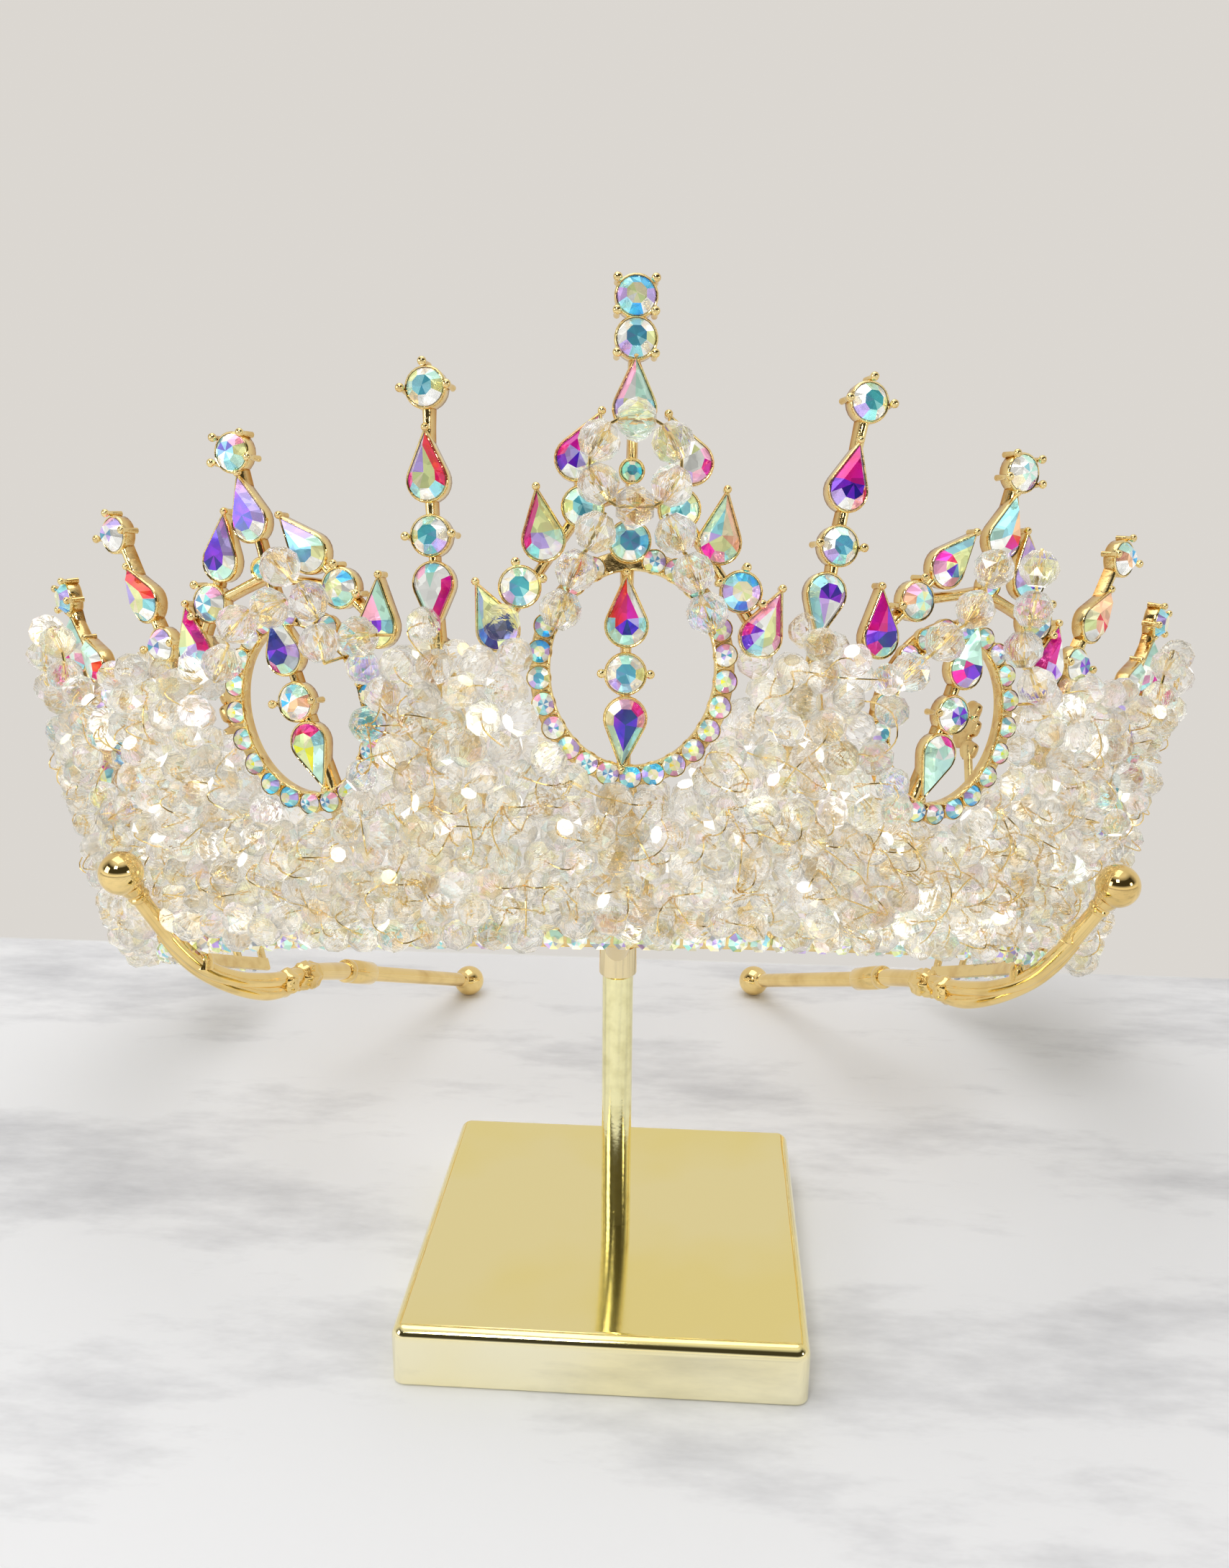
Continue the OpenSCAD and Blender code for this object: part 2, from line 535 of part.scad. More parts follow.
// Woven beads: face rows bulge as beads do, back rows lie just off the struts
field_step = 2.75;
field_rows = 9;
function field_face(u, f, i, j) =
    let (round_off = min(1, 0.42 + 3 * min(f, 1 - f)))
    0.9 + 2.8 * forward(u, f) + (field_z - 0.9 - 0.7 * ((i + j) % 2)) * round_off;
function field_column(u, i) =
    let (v0 = field_foot(u), v1 = field_edge(u) - 0.2)
    concat(
        [for (j = [0:field_rows - 1]) let (f = j / (field_rows - 1)) wall(u, v0 + (v1 - v0) * f,
            field_face(u, f, i, j))],
        [for (j = [2:-1:0]) wall(u, v0 + (v1 - v0) * j / 2, 0.95 + 4.5 * forward(u, j / 2))]);
field_half = floor((band_half - 5) / field_step);
module bead_field() {
    n = field_rows + 3;
    m = 2 * field_half + 1;
    color("whitesmoke") tiara() polyhedron(
        points = [for (i = [-field_half:field_half]) let (s = i < 0 ? -1 : 1)
            each [for (p = field_column(abs(i) * field_step, abs(i))) mirrored(p, s)]],
        faces = concat(
            [[for (k = [0:n - 1]) k], [for (k = [n - 1:-1:0]) (m - 1) * n + k]],
            [for (i = [0:m - 2], k = [0:n - 1]) let (l = (k + 1) % n)
                each [[i * n + k, (i + 1) * n + k, (i + 1) * n + l], [i * n + k, (i + 1) * n + l, i * n + l]]]));
}

module stones(place, rows, tint) {
    color(tint) placed(place) for (row = rows) stone(row);
}

module side_nodes(name, s) {
    stones([side_u, side_v, s], side_stones, "plum");
    stones([outer_spire_u, outer_spire_v, s], outer_spire_stones, "plum");
    stones([end_u, end_v, s], end_stones, "plum");
    stones([side_u, side_v, s], rim_rows(side_oval, 13, 17), "paleturquoise");
    stones([end_u, end_v, s], rim_rows(end_oval, 11, 21), "paleturquoise");
    color("white") placed([side_u, side_v, s])
            beads([for (p = s < 0 ? left_strands : right_strands) each strand_beads(p)]);
    color("white") placed([end_u, end_v, s]) beads(ring_beads(end_ring));
    color("gold") placed([side_u, side_v, s])
            threads([], s < 0 ? left_strands : right_strands, s < 0 ? left_legs : right_legs);
    color("gold") placed([end_u, end_v, s]) threads(end_ring, [], end_legs);
}

base_plate();
post();
post_collar();
side_rod(-1);  // side_rod_left
side_rod(1);  // side_rod_right
tiara_frame();
for (i = [1:len(centre_stones)])
    stones(centre_place, [centre_stones[i - 1]], "skyblue");
for (i = [1:4]) {
    stones([spire_u, spire_v, -1], [left_spire_stones[i - 1]], "skyblue");
    stones([spire_u, spire_v, 1], [right_spire_stones[i - 1]], "skyblue");
}
side_nodes("left", -1);
side_nodes("right", 1);
stones(centre_place, rim_rows(centre_oval, 13, 14), "paleturquoise");  // centre_rim_stones
color("white") placed(centre_place)  // centre_garland_beads
        beads(concat(ring_beads(centre_ring), strand_beads(centre_strands[0]), strand_beads(centre_strands[1])));
color("gold") placed(centre_place) threads(centre_ring, centre_strands, centre_legs);  // centre_garland_thread
bead_field();
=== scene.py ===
import math

import bmesh
import bpy
import numpy as np
from mathutils import Matrix, Vector


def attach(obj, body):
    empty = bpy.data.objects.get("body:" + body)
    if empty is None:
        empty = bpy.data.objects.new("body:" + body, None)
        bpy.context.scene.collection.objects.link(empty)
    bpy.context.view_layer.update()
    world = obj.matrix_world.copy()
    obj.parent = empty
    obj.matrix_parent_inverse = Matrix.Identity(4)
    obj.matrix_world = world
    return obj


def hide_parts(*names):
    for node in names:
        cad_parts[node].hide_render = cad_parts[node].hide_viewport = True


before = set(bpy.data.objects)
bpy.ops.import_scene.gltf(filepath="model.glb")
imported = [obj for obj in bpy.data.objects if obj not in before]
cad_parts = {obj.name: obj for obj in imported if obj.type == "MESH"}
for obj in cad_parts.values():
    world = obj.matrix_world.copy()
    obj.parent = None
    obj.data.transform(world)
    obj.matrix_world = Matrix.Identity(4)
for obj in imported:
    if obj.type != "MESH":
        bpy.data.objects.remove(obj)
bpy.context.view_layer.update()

mm = 0.001
chance = np.random.default_rng(23)
print("frame loaded")


# Turn about an axis by degrees
def turned(axis, degrees):
    return np.array(Matrix.Rotation(math.radians(degrees), 3, axis))


# Camera where the photograph was taken from: eye in mm, angles in degrees
photoView = {
    "eye": (11.90, -187.82, 135.25),
    "yaw": -3.70, "pitch": 15.63, "roll": 0.45,
    "focalPixels": 1835.0, "longSidePixels": 2179.0, "sensor": 36.0,
}


def addCamera(s):
    data = bpy.data.cameras.new("photoCamera")
    data.sensor_width = s["sensor"]
    data.lens = s["focalPixels"] * s["sensor"] / s["longSidePixels"]
    data.clip_start, data.clip_end = 0.01, 20.0
    camera = bpy.data.objects.new("photoCamera", data)
    matrix = np.eye(4)
    matrix[:3, :3] = turned("Z", -s["yaw"]) @ turned("X", 90 - s["pitch"]) @ turned("Z", s["roll"])
    matrix[:3, 3] = np.array(s["eye"]) * mm
    camera.matrix_world = Matrix(matrix.tolist())
    bpy.context.scene.collection.objects.link(camera)
    bpy.context.scene.camera = camera


addCamera(photoView)
print("camera placed")

# Where the tiara stands and how its wall curves, as in the part: mm and degrees
tiara = {
    "front": (1.4, -2.0, 57.0), "turn": 6.0, "tilt": -26.0, "roll": 1.2,
    "frontRadius": 105.0, "sideRadius": 70.0, "rearRadius": 60.0,
    "sideHeading": 30.0, "rearHeading": 100.0,
    "lean": 23.7, "profileRadius": 392.0, "bandHalf": 165.0,
    "bandFoot": 0.3, "bandHeight": 3.0, "bandThickness": 1.2,
}
sideHeading, rearHeading = math.radians(tiara["sideHeading"]), math.radians(tiara["rearHeading"])
sideStart = tiara["frontRadius"] * sideHeading
rearStart = sideStart + tiara["sideRadius"] * (rearHeading - sideHeading)


def outward(h):
    return np.stack([np.sin(h), -np.cos(h)], -1)


frontCentre = np.array([0.0, tiara["frontRadius"]])
sideCentre = frontCentre + (tiara["frontRadius"] - tiara["sideRadius"]) * outward(np.array(sideHeading))
rearCentre = sideCentre + (tiara["sideRadius"] - tiara["rearRadius"]) * outward(np.array(rearHeading))
pose = turned("Z", tiara["turn"]) @ turned("X", tiara["tilt"]) @ turned("Y", tiara["roll"])


# Band's own frame in mm to the part's frame in metres: turn, tilt and roll, then the band's front
def seat(p):
    return (p @ pose.T + np.array(tiara["front"])) * mm


# Heading along the band: length over radius, added up through the three arcs
def heading(u):
    a = np.abs(u)
    return np.where(a <= sideStart, a / tiara["frontRadius"], np.where(
        a <= rearStart, sideHeading + (a - sideStart) / tiara["sideRadius"],
        rearHeading + (a - rearStart) / tiara["rearRadius"]))


# Lean of the wall, which turns by height over the profile's radius
def leanAt(v):
    return math.radians(tiara["lean"]) - np.asarray(v, float) / tiara["profileRadius"]


# Point of the wall: along u, up v and off z; negative u is the mirrored side
def wall(u, v, z=0.0):
    u, v, z = np.broadcast_arrays(np.asarray(u, float), np.asarray(v, float), np.asarray(z, float))
    a, h, lean, lean0 = np.abs(u), heading(u), leanAt(v), math.radians(tiara["lean"])
    first, second = a <= sideStart, a <= rearStart
    centre = np.where(first[..., None], frontCentre, np.where(second[..., None], sideCentre, rearCentre))
    radius = np.where(first, tiara["frontRadius"], np.where(second, tiara["sideRadius"], tiara["rearRadius"]))
    shift = tiara["profileRadius"] * (np.cos(lean) - math.cos(lean0))
    rise = tiara["profileRadius"] * (math.sin(lean0) - np.sin(lean))
    flat = centre + (radius + shift + z * np.cos(lean))[..., None] * outward(h)
    return np.stack([np.where(u < 0, -1, 1) * flat[..., 0], flat[..., 1], rise - z * np.sin(lean)], -1)


# Directions along, up and out of the wall at u, v, as rows
def wallAxes(u, v):
    u, v = np.broadcast_arrays(np.asarray(u, float), np.asarray(v, float))
    h, a, s = heading(u), leanAt(v), np.where(u < 0, -1, 1)
    along = np.stack([s * np.cos(h), np.sin(h), 0 * h], -1)
    upward = np.stack([s * np.sin(h) * np.sin(a), -np.cos(h) * np.sin(a), np.cos(a)], -1)
    out = np.stack([s * np.sin(h) * np.cos(a), -np.cos(h) * np.cos(a), -np.sin(a)], -1)
    return np.stack([along, upward, out], -2)


# Flat motif coordinates to the part's frame; place is (u, v) with the side in u's sign
def onWall(p, place):
    return seat(wall(*place) + p @ wallAxes(*place))


# Rings of points to quads, with the two end rings capped or the rings joined in a loop
def gridFaces(rings, around, loop=False):
    j, k = np.meshgrid(np.arange(rings if loop else rings - 1), np.arange(around), indexing="ij")
    j, k = j.ravel(), k.ravel()
    nextJ, nextK = (j + 1) % rings, (k + 1) % around
    faces = np.stack([j * around + k, j * around + nextK, nextJ * around + nextK, nextJ * around + k], -1).tolist()
    if not loop:
        faces.append(list(range(around))[::-1])
        faces.append([(rings - 1) * around + i for i in range(around)])
    return faces


def part(points, faces, **extra):
    return {"points": points.reshape(-1, 3), "faces": faces, **extra}


def gridPart(rings, loop=False, recess=0.0):
    dark = np.broadcast_to(recess, rings.shape[:2]).ravel()
    return part(rings, gridFaces(rings.shape[0], rings.shape[1], loop), recess=dark)


# The same small shape at many places: points (n, k, 3) share one list of faces
def repeated(points, faces, **extra):
    n, k = points.shape[:2]
    return part(points, [[i * k + c for c in f] for i in range(n) for f in faces], **extra)


# Joins parts into one mesh at the origin: tint is a colour and a painted glow per face, uv a place per corner, the
# painted shade a value per point
def makePiece(name, parts, material, standsFor=(), smoothAngle=None, turnFaces=True):
    data = {key: np.concatenate([p[key] for p in parts]) for key in parts[0] if key != "faces"}
    starts = np.cumsum([0] + [len(p["points"]) for p in parts]).tolist()
    faces = [[start + c for c in f] for start, p in zip(starts, parts) for f in p["faces"]]
    mesh = bpy.data.meshes.new(name)
    mesh.from_pydata(data["points"].tolist(), [], faces)
    if turnFaces:
        tidy = bmesh.new()
        tidy.from_mesh(mesh)
        bmesh.ops.recalc_face_normals(tidy, faces=tidy.faces)
        tidy.to_mesh(mesh)
        tidy.free()
    if "tint" in data:
        tint = np.repeat(data["tint"], [len(f) for f in faces], 0)
        mesh.color_attributes.new("tint", "FLOAT_COLOR", "CORNER").data.foreach_set("color", tint.ravel())
    if "uv" in data:
        mesh.uv_layers.new(name="cut").data.foreach_set("uv", data["uv"].ravel())
    if "recess" in data:
        dark = data["recess"].astype(np.float32)
        mesh.attributes.new("recess", "FLOAT", "POINT").data.foreach_set("value", dark)
    if smoothAngle:
        mesh.polygons.foreach_set("use_smooth", np.ones(len(faces), bool))
        mesh.set_sharp_from_angle(angle=math.radians(smoothAngle))
    mesh.materials.append(material)
    piece = bpy.data.objects.new(name, mesh)
    bpy.context.scene.collection.objects.link(piece)
    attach(piece, "root")
    if standsFor:
        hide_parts(*standsFor)


# Path through points by Catmull-Rom cubics, per steps between each two; extra columns follow
def smoothPath(p, per=6):
    p = np.asarray(p, float)
    p = np.concatenate([[2 * p[0] - p[1]], p, [2 * p[-1] - p[-2]]])
    t = np.linspace(0, 1, per, endpoint=False)[None, :, None]
    a, b, c, d = (p[i:len(p) - 3 + i][:, None] for i in range(4))
    curve = 0.5 * (2 * b + (c - a) * t + (2 * a - 5 * b + 4 * c - d) * t ** 2 + (3 * b - a - 3 * c + d) * t ** 3)
    return np.concatenate([curve.reshape(-1, p.shape[1]), p[-2:-1]])


# Two unit directions square to ahead, the first of them also square to ref
def crossways(ahead, ref):
    side = np.cross(ahead, ref)
    side /= np.linalg.norm(side, axis=-1, keepdims=True)
    over = np.cross(side, ahead)
    return side, over / np.linalg.norm(over, axis=-1, keepdims=True)


# Circle carried along a path whose last column is its radius
def tubeRings(p, around):
    centre, radius = p[:, None, :3], p[:, 3:, None]
    side, over = crossways(np.gradient(p[:, :3], axis=0), (1.0, 0.0, 0.2))
    a = np.linspace(0, 2 * np.pi, around, endpoint=False)[None, :, None]
    return centre + radius * (np.cos(a) * side[:, None] + np.sin(a) * over[:, None])


# Profile of (distance, radius) turned round the line from a to b; lumps swell it in waves
def turnedRings(a, b, profile, around=28, lumps=0.0, waves=8):
    a, profile = np.asarray(a, float), np.asarray(profile, float)
    axis = np.asarray(b, float) - a
    axis /= np.linalg.norm(axis)
    side, over = crossways(axis, (0.31, 0.2, 0.93) if abs(axis[2]) < 0.8 else (1.0, 0.0, 0.0))
    t = np.linspace(0, 2 * np.pi, around, endpoint=False)
    circle = np.cos(t)[:, None] * side - np.sin(t)[:, None] * over
    swell = 1 + lumps * np.cos(waves * t)[None] * np.sin(np.linspace(0, np.pi, len(profile)))[:, None]
    return a + profile[:, :1, None] * axis + (profile[:, 1:] * swell)[..., None] * circle


# Half circle of radius r as a profile, almost from pole to pole
def ballProfile(r):
    t = np.linspace(0.02, np.pi - 0.02, 18)
    return np.stack([-r * np.cos(t), r * np.sin(t)], -1)


# Flat outlines, each with its height, as rings of points
def atHeights(pairs):
    return np.stack([np.column_stack([outline, np.full(len(outline), z)]) for outline, z in pairs])


# A socket gets a constant, or a link from another socket
def feed(tree, socket, value):
    if isinstance(value, bpy.types.NodeSocket):
        tree.links.new(value, socket)
    else:
        socket.default_value = value


def addNode(tree, kind, inputs=None, **settings):
    node = tree.nodes.new("ShaderNode" + kind)
    for key, value in settings.items():
        setattr(node, key, value)
    for key, value in (inputs or {}).items():
        feed(tree, node.inputs[key], value)
    return node


def mathNode(tree, operation, a, b, clamp=False):
    return addNode(tree, "Math", {0: a, 1: b}, operation=operation, use_clamp=clamp).outputs[0]


def times(tree, a, b):
    return mathNode(tree, "MULTIPLY", a, b)


def plus(tree, a, b):
    return mathNode(tree, "ADD", a, b)


# Where value lies between low and high, from 0 to 1
def ramp(tree, value, low, high):
    return addNode(tree, "MapRange", {"Value": value, "From Min": low, "From Max": high}).outputs[0]


def mixNode(tree, factor, a, b):
    return addNode(tree, "Mix", {0: factor, 6: a, 7: b}, data_type="RGBA").outputs[2]


def noise(tree, place, scale, detail, rough=0.5):
    inputs = {"Vector": place, "Scale": scale, "Detail": detail, "Roughness": rough}
    return addNode(tree, "TexNoise", inputs).outputs["Fac"]


def bumpFrom(tree, height, strength, distance):
    return addNode(tree, "Bump", {"Height": height, "Strength": strength, "Distance": distance}).outputs["Normal"]


# Node group with named inputs, built once and placed in each material with its own values
def newGroup(name, inputs):
    tree = bpy.data.node_groups.new(name, "ShaderNodeTree")
    kinds = {tuple: "NodeSocketColor", float: "NodeSocketFloat"}
    for label, value in inputs.items():
        socket = tree.interface.new_socket(name=label, in_out="INPUT", socket_type=kinds[type(value)])
        socket.default_value = value
    for label, kind in (("Color", "Color"), ("Roughness", "Float"), ("Normal", "Vector")):
        tree.interface.new_socket(name=label, in_out="OUTPUT", socket_type="NodeSocket" + kind)
    return tree, tree.nodes.new("NodeGroupInput").outputs


def endGroup(tree, color, roughness, normal):
    result = tree.nodes.new("NodeGroupOutput").inputs
    for label, value in (("Color", color), ("Roughness", roughness), ("Normal", normal)):
        feed(tree, result[label], value)
    return tree


# Plated metal: broad patches from noise, partly tarnish and partly painted reflections, fine grain from noise, and
# painted shade in the recesses
def buildMetalWear():
    tree, given = newGroup("metalWear", {
        "Bright": (0.9, 0.7, 0.3, 1), "Shade": (0.5, 0.25, 0.05, 1), "Patch Scale": 60.0, "Patch Amount": 0.3,
        "Grain Scale": 900.0, "Grain Height": 0.1, "Rough": 0.12, "Rough Spread": 0.06, "Painted Shade": 0.0})
    place = addNode(tree, "TexCoord").outputs["Object"]
    patch, grain = noise(tree, place, given["Patch Scale"], 3.0), noise(tree, place, given["Grain Scale"], 4.0)
    spread = times(tree, ramp(tree, patch, 0.45, 0.75), given["Patch Amount"])
    shade = mathNode(tree, "ADD", spread, given["Painted Shade"], clamp=True)
    dull = times(tree, shade, times(tree, given["Rough Spread"], 2.5))
    rough = plus(tree, plus(tree, given["Rough"], times(tree, grain, given["Rough Spread"])), dull)
    return endGroup(tree, mixNode(tree, shade, given["Bright"], given["Shade"]), rough,
                    bumpFrom(tree, grain, given["Grain Height"], 0.0002))


# Painted light inside a cut stone: cells of brighter and darker tint, painted reflections of the back facets
def buildPaintedInnerLight():
    tree, given = newGroup("paintedInnerLight", {
        "Tint": (0.6, 0.6, 0.6, 1), "Cell Scale": 500.0, "Amount": 0.3, "Rough": 0.03})
    place = addNode(tree, "TexCoord").outputs["Object"]
    cells = addNode(tree, "TexVoronoi", {"Vector": place, "Scale": given["Cell Scale"]}).outputs["Color"]
    cloud = noise(tree, place, 260.0, 2.0)
    grey = addNode(tree, "RGBToBW", {0: cells}).outputs[0]
    level = times(tree, mathNode(tree, "SUBTRACT", grey, 0.45), given["Amount"])
    drift = times(tree, mathNode(tree, "SUBTRACT", cloud, 0.5), given["Amount"])
    bright = addNode(tree, "HueSaturation", {
        "Color": given["Tint"], "Value": plus(tree, 1.0, times(tree, level, 2.0)),
        "Hue": plus(tree, 0.5, times(tree, drift, 0.5))}).outputs[0]
    return endGroup(tree, bright, plus(tree, given["Rough"], times(tree, cloud, 0.04)),
                    bumpFrom(tree, cloud, 0.05, 0.0001))


# Painted streaks in a clear bead, darker lines that stand in for lines refracted through its facets: noise drawn
# out along its thread, read from the bead's own UV map
def buildPaintedBeadStreaks():
    tree, given = newGroup("paintedBeadStreaks", {
        "Tint": (0.95, 0.95, 0.95, 1), "Painted Streak Tint": (0.60, 0.52, 0.38, 1), "Streak Count": 60.0, "Amount": 0.5,
        "Height": 0.3})
    stretch = addNode(tree, "CombineXYZ", {"X": given["Streak Count"], "Y": 0.8, "Z": 1.0}).outputs[0]
    place = addNode(tree, "VectorMath", {0: addNode(tree, "TexCoord").outputs["UV"], 1: stretch},
                    operation="MULTIPLY").outputs[0]
    lines = noise(tree, place, 1.0, 2.0)
    dark = ramp(tree, lines, 0.57, 0.62)
    color = mixNode(tree, times(tree, dark, given["Amount"]), given["Tint"], given["Painted Streak Tint"])
    return endGroup(tree, color, times(tree, dark, 0.03), bumpFrom(tree, lines, given["Height"], 0.0003))


metalWear, paintedInnerLight, paintedBeadStreaks = buildMetalWear(), buildPaintedInnerLight(), buildPaintedBeadStreaks()


# Material on a group; layer is the mesh attribute that it reads: the painted shade, or the tint with its painted
# glow as alpha, which makes the surface glow though it is no lamp
def newMaterial(name, group, values, shaderValues, layer=None):
    material = bpy.data.materials.new(name)
    material.use_nodes = True
    tree = material.node_tree
    shader = tree.nodes["Principled BSDF"].inputs
    effect = addNode(tree, "Group", values, node_tree=group)
    for out, into in (("Color", "Base Color"), ("Roughness", "Roughness"), ("Normal", "Normal")):
        feed(tree, shader[into], effect.outputs[out])
    source = addNode(tree, "Attribute", attribute_name=layer).outputs if layer else None
    if layer == "recess":
        feed(tree, effect.inputs["Painted Shade"], source["Fac"])
    elif layer == "tint":
        feed(tree, effect.inputs["Tint"], source["Color"])
        feed(tree, shader["Emission Color"], effect.outputs["Color"])
        feed(tree, shader["Emission Strength"], source["Alpha"])
    for key, value in shaderValues.items():
        shader[key].default_value = value
    return material


# Plated finishes: colours are linear, scales are per metre
# Bright is the metal's lit colour and Shade the colour that painted shade and the broad patches move it to; on the
# plate those patches are painted reflections
goldKeys = ("Bright", "Shade", "Patch Scale", "Patch Amount", "Grain Scale", "Grain Height", "Rough",
            "Rough Spread")
goldFinishes = {
    "plateGold": ((1.0, 0.94, 0.68, 1), (0.995, 0.85, 0.35, 1), 26.0, 0.5, 900.0, 0.01, 0.01, 0.03),
    "postGold": ((1.0, 0.94, 0.54, 1), (0.46, 0.38, 0.08, 1), 420.0, 0.3, 1400.0, 0.12, 0.12, 0.06),
    "collarGold": ((0.90, 0.76, 0.46, 1), (0.6, 0.4, 0.12, 1), 200.0, 0.15, 900.0, 0.03, 0.04, 0.03),
    "rodGold": ((0.98, 0.74, 0.32, 1), (0.60, 0.34, 0.06, 1), 140.0, 0.5, 900.0, 0.04, 0.02, 0.04),
    "castGold": ((1.0, 0.80, 0.38, 1), (0.48, 0.18, 0.01, 1), 260.0, 0.35, 700.0, 0.6, 0.05, 0.06),
    "wireGold": ((0.96, 0.72, 0.30, 1), (0.66, 0.38, 0.08, 1), 300.0, 0.3, 900.0, 0.05, 0.12, 0.06),
}
gold = {name: newMaterial(name, metalWear, dict(zip(goldKeys, values)), {"Metallic": 1.0},
                          "recess" if name in ("castGold", "plateGold") else None)
        for name, values in goldFinishes.items()}
irisGlass = newMaterial("irisGlass", paintedInnerLight, {"Cell Scale": 620.0, "Amount": 0.35, "Rough": 0.02},
                        {"Metallic": 0.45, "Coat Weight": 0.8, "Coat Roughness": 0.02}, "tint")
beadGlass = newMaterial("beadGlass", paintedBeadStreaks, {"Streak Count": 34.0, "Amount": 0.7, "Height": 0.7},
                        {"Transmission Weight": 1.0, "IOR": 1.48}, "tint")
print("materials made")

# Plate: a square with rounded corners, its top edge rolled over and its top painted deeper than its sides, whose
# paler colour is a painted reflection of the pale floor; mm
plate = {"half": 30.0, "height": 9.3, "corner": 2.0, "roll": 2.0, "foot": 0.35, "tightest": 0.1,
         "cornerSteps": 8, "rollSteps": 9, "topShade": 0.7, "shadeFrom": 7.5, "shadeSpan": 1.5}


# Rounded square shrunk by an inset: a quarter circle at each corner, carried up the side and over the edge
def buildPlate(s):
    quarter = np.linspace(0, np.pi / 2, s["cornerSteps"])
    turns = (quarter + np.arange(4)[:, None] * np.pi / 2).ravel()
    corners = np.repeat([[1, 1], [-1, 1], [-1, -1], [1, -1]], s["cornerSteps"], 0)
    t = np.linspace(0, np.pi / 2, s["rollSteps"])
    inset = np.concatenate([[s["foot"], 0.0], s["roll"] * (1 - np.cos(t))])[:, None, None]
    height = np.concatenate([[0.0, s["foot"]], s["height"] - s["roll"] * (1 - np.sin(t))])
    radius = np.maximum(s["corner"] - inset, s["tightest"])
    flat = (s["half"] - inset - radius) * corners + radius * np.stack([np.cos(turns), np.sin(turns)], -1)
    # Painted shade: the top takes the deeper colour, the sides stay pale as a painted reflection of the floor
    shade = s["topShade"] * np.clip((height - s["shadeFrom"]) / s["shadeSpan"], 0, 1)
    makePiece("displayPlate", [gridPart(atHeights(zip(flat, height)) * mm, recess=shade[:, None])],
              gold["plateGold"], ["base_plate"], 30)


buildPlate(plate)

# The post, its collar and the garlands' threads keep their own meshes
finishes = {"post": "postGold", "post_collar": "collarGold"}
finishes.update({node: "wireGold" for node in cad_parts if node.endswith("garland_thread")})
for node, finish in finishes.items():
    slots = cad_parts[node].data.materials
    slots.clear()
    slots.append(gold[finish])
print("stand dressed")

# Side rods in the band's frame, mm; route and lobe are x, y, z and radius, the profiles distance and radius
rods = {
    "turn": -1.2, "frontBall": 3.6, "rearBall": 3.5, "rearPlace": (34.4, 121.0), "sleeveEnd": (51.2, 78.5, -1.0),
    "route": [
        [81, 12.2, 12.1, 1.1], [79.6, 15, 9.6, 1.4], [77.4, 19.2, 5.7, 1.5], [74.7, 23.9, 1.4, 1.5],
        [71.4, 29, -2.2, 1.5], [67.6, 35, -3.9, 1.5], [64.2, 41, -4, 1.5], [61.6, 46.6, -3.4, 1.5],
        [59.6, 51.4, -2.4, 1.6], [57.8, 57, -1.6, 1.7], [54.5, 70, -0.9, 1.8]],
    "lobe": [
        [77.2, 21.6, 2.8, 0.5], [74.8, 25.8, -0.4, 1], [71.8, 30.4, -3.2, 1.2], [67.6, 36.2, -5.3, 1.4],
        [63.8, 42.6, -6, 1.5], [61.2, 48, -5, 1.3], [59.4, 52.6, -3.4, 0.8]],
    "neck": [[2.6, 2.3], [3.6, 1.95], [4.3, 1.75], [4.5, 1.5], [4.8, 1.5], [5.0, 1.75], [5.5, 1.8], [6.0, 1.5],
             [6.3, 1.2]],
    # lumpy collars where the strands meet: from, to, profile, points around, lumps and waves
    "collars": [
        ([59.9, 50.6, -3], [58.4, 55, -2.2],
         [[-0.5, 1.4], [-0.1, 2.1], [0.7, 2.6], [1.5, 2.3], [2.1, 2.6], [3.0, 2.7], [3.7, 2.4], [4.4, 2.6],
          [5.0, 1.6]], 30, 0.12, 7),
        ([61.9, 45.9, -4.2], [60.9, 48.3, -3.8], [[-0.3, 1.6], [0.2, 2.3], [1.2, 2.6], [2.2, 2.4], [2.8, 1.6]],
         30, 0.1, 6)],
    # start and end of the sleeve and of the bar behind it, the end's distances counted from its far end
    "sleeve": ([[-1.2, 1.7], [-1.0, 2.2], [-0.6, 2.4], [0.4, 2.4], [0.7, 2.15], [1.0, 2.15], [1.3, 2.4]],
               [[-0.5, 2.4], [-0.1, 2.2], [0, 1.6]]),
    "bar": ([[-0.4, 1.55], [0, 1.6]], [[-5.0, 1.6], [-4.6, 1.95], [-4.0, 2.0], [-3.6, 1.7], [-2.4, 1.6]]),
    "lugU": 79.0, "lugDrop": (3.2, 0.45), "lug": [[0, 1.5], [1.6, 1.35], [2.3, 1.3], [2.75, 1.0]],
}


# Height in the band's frame at which a rod's rear ball stands on the table
def rearHeight(s, side):
    foot = turned("Z", s["turn"]) @ [side * s["rearPlace"][0], s["rearPlace"][1], 0]
    return (s["rearBall"] - seat(foot)[2] / mm) / pose[2, 2]


# Turned piece from a to b whose profile has a start and an end
def spanRings(a, b, ends):
    return turnedRings(a, b, np.concatenate([ends[0], np.array(ends[1]) + [np.linalg.norm(b - a), 0]]))


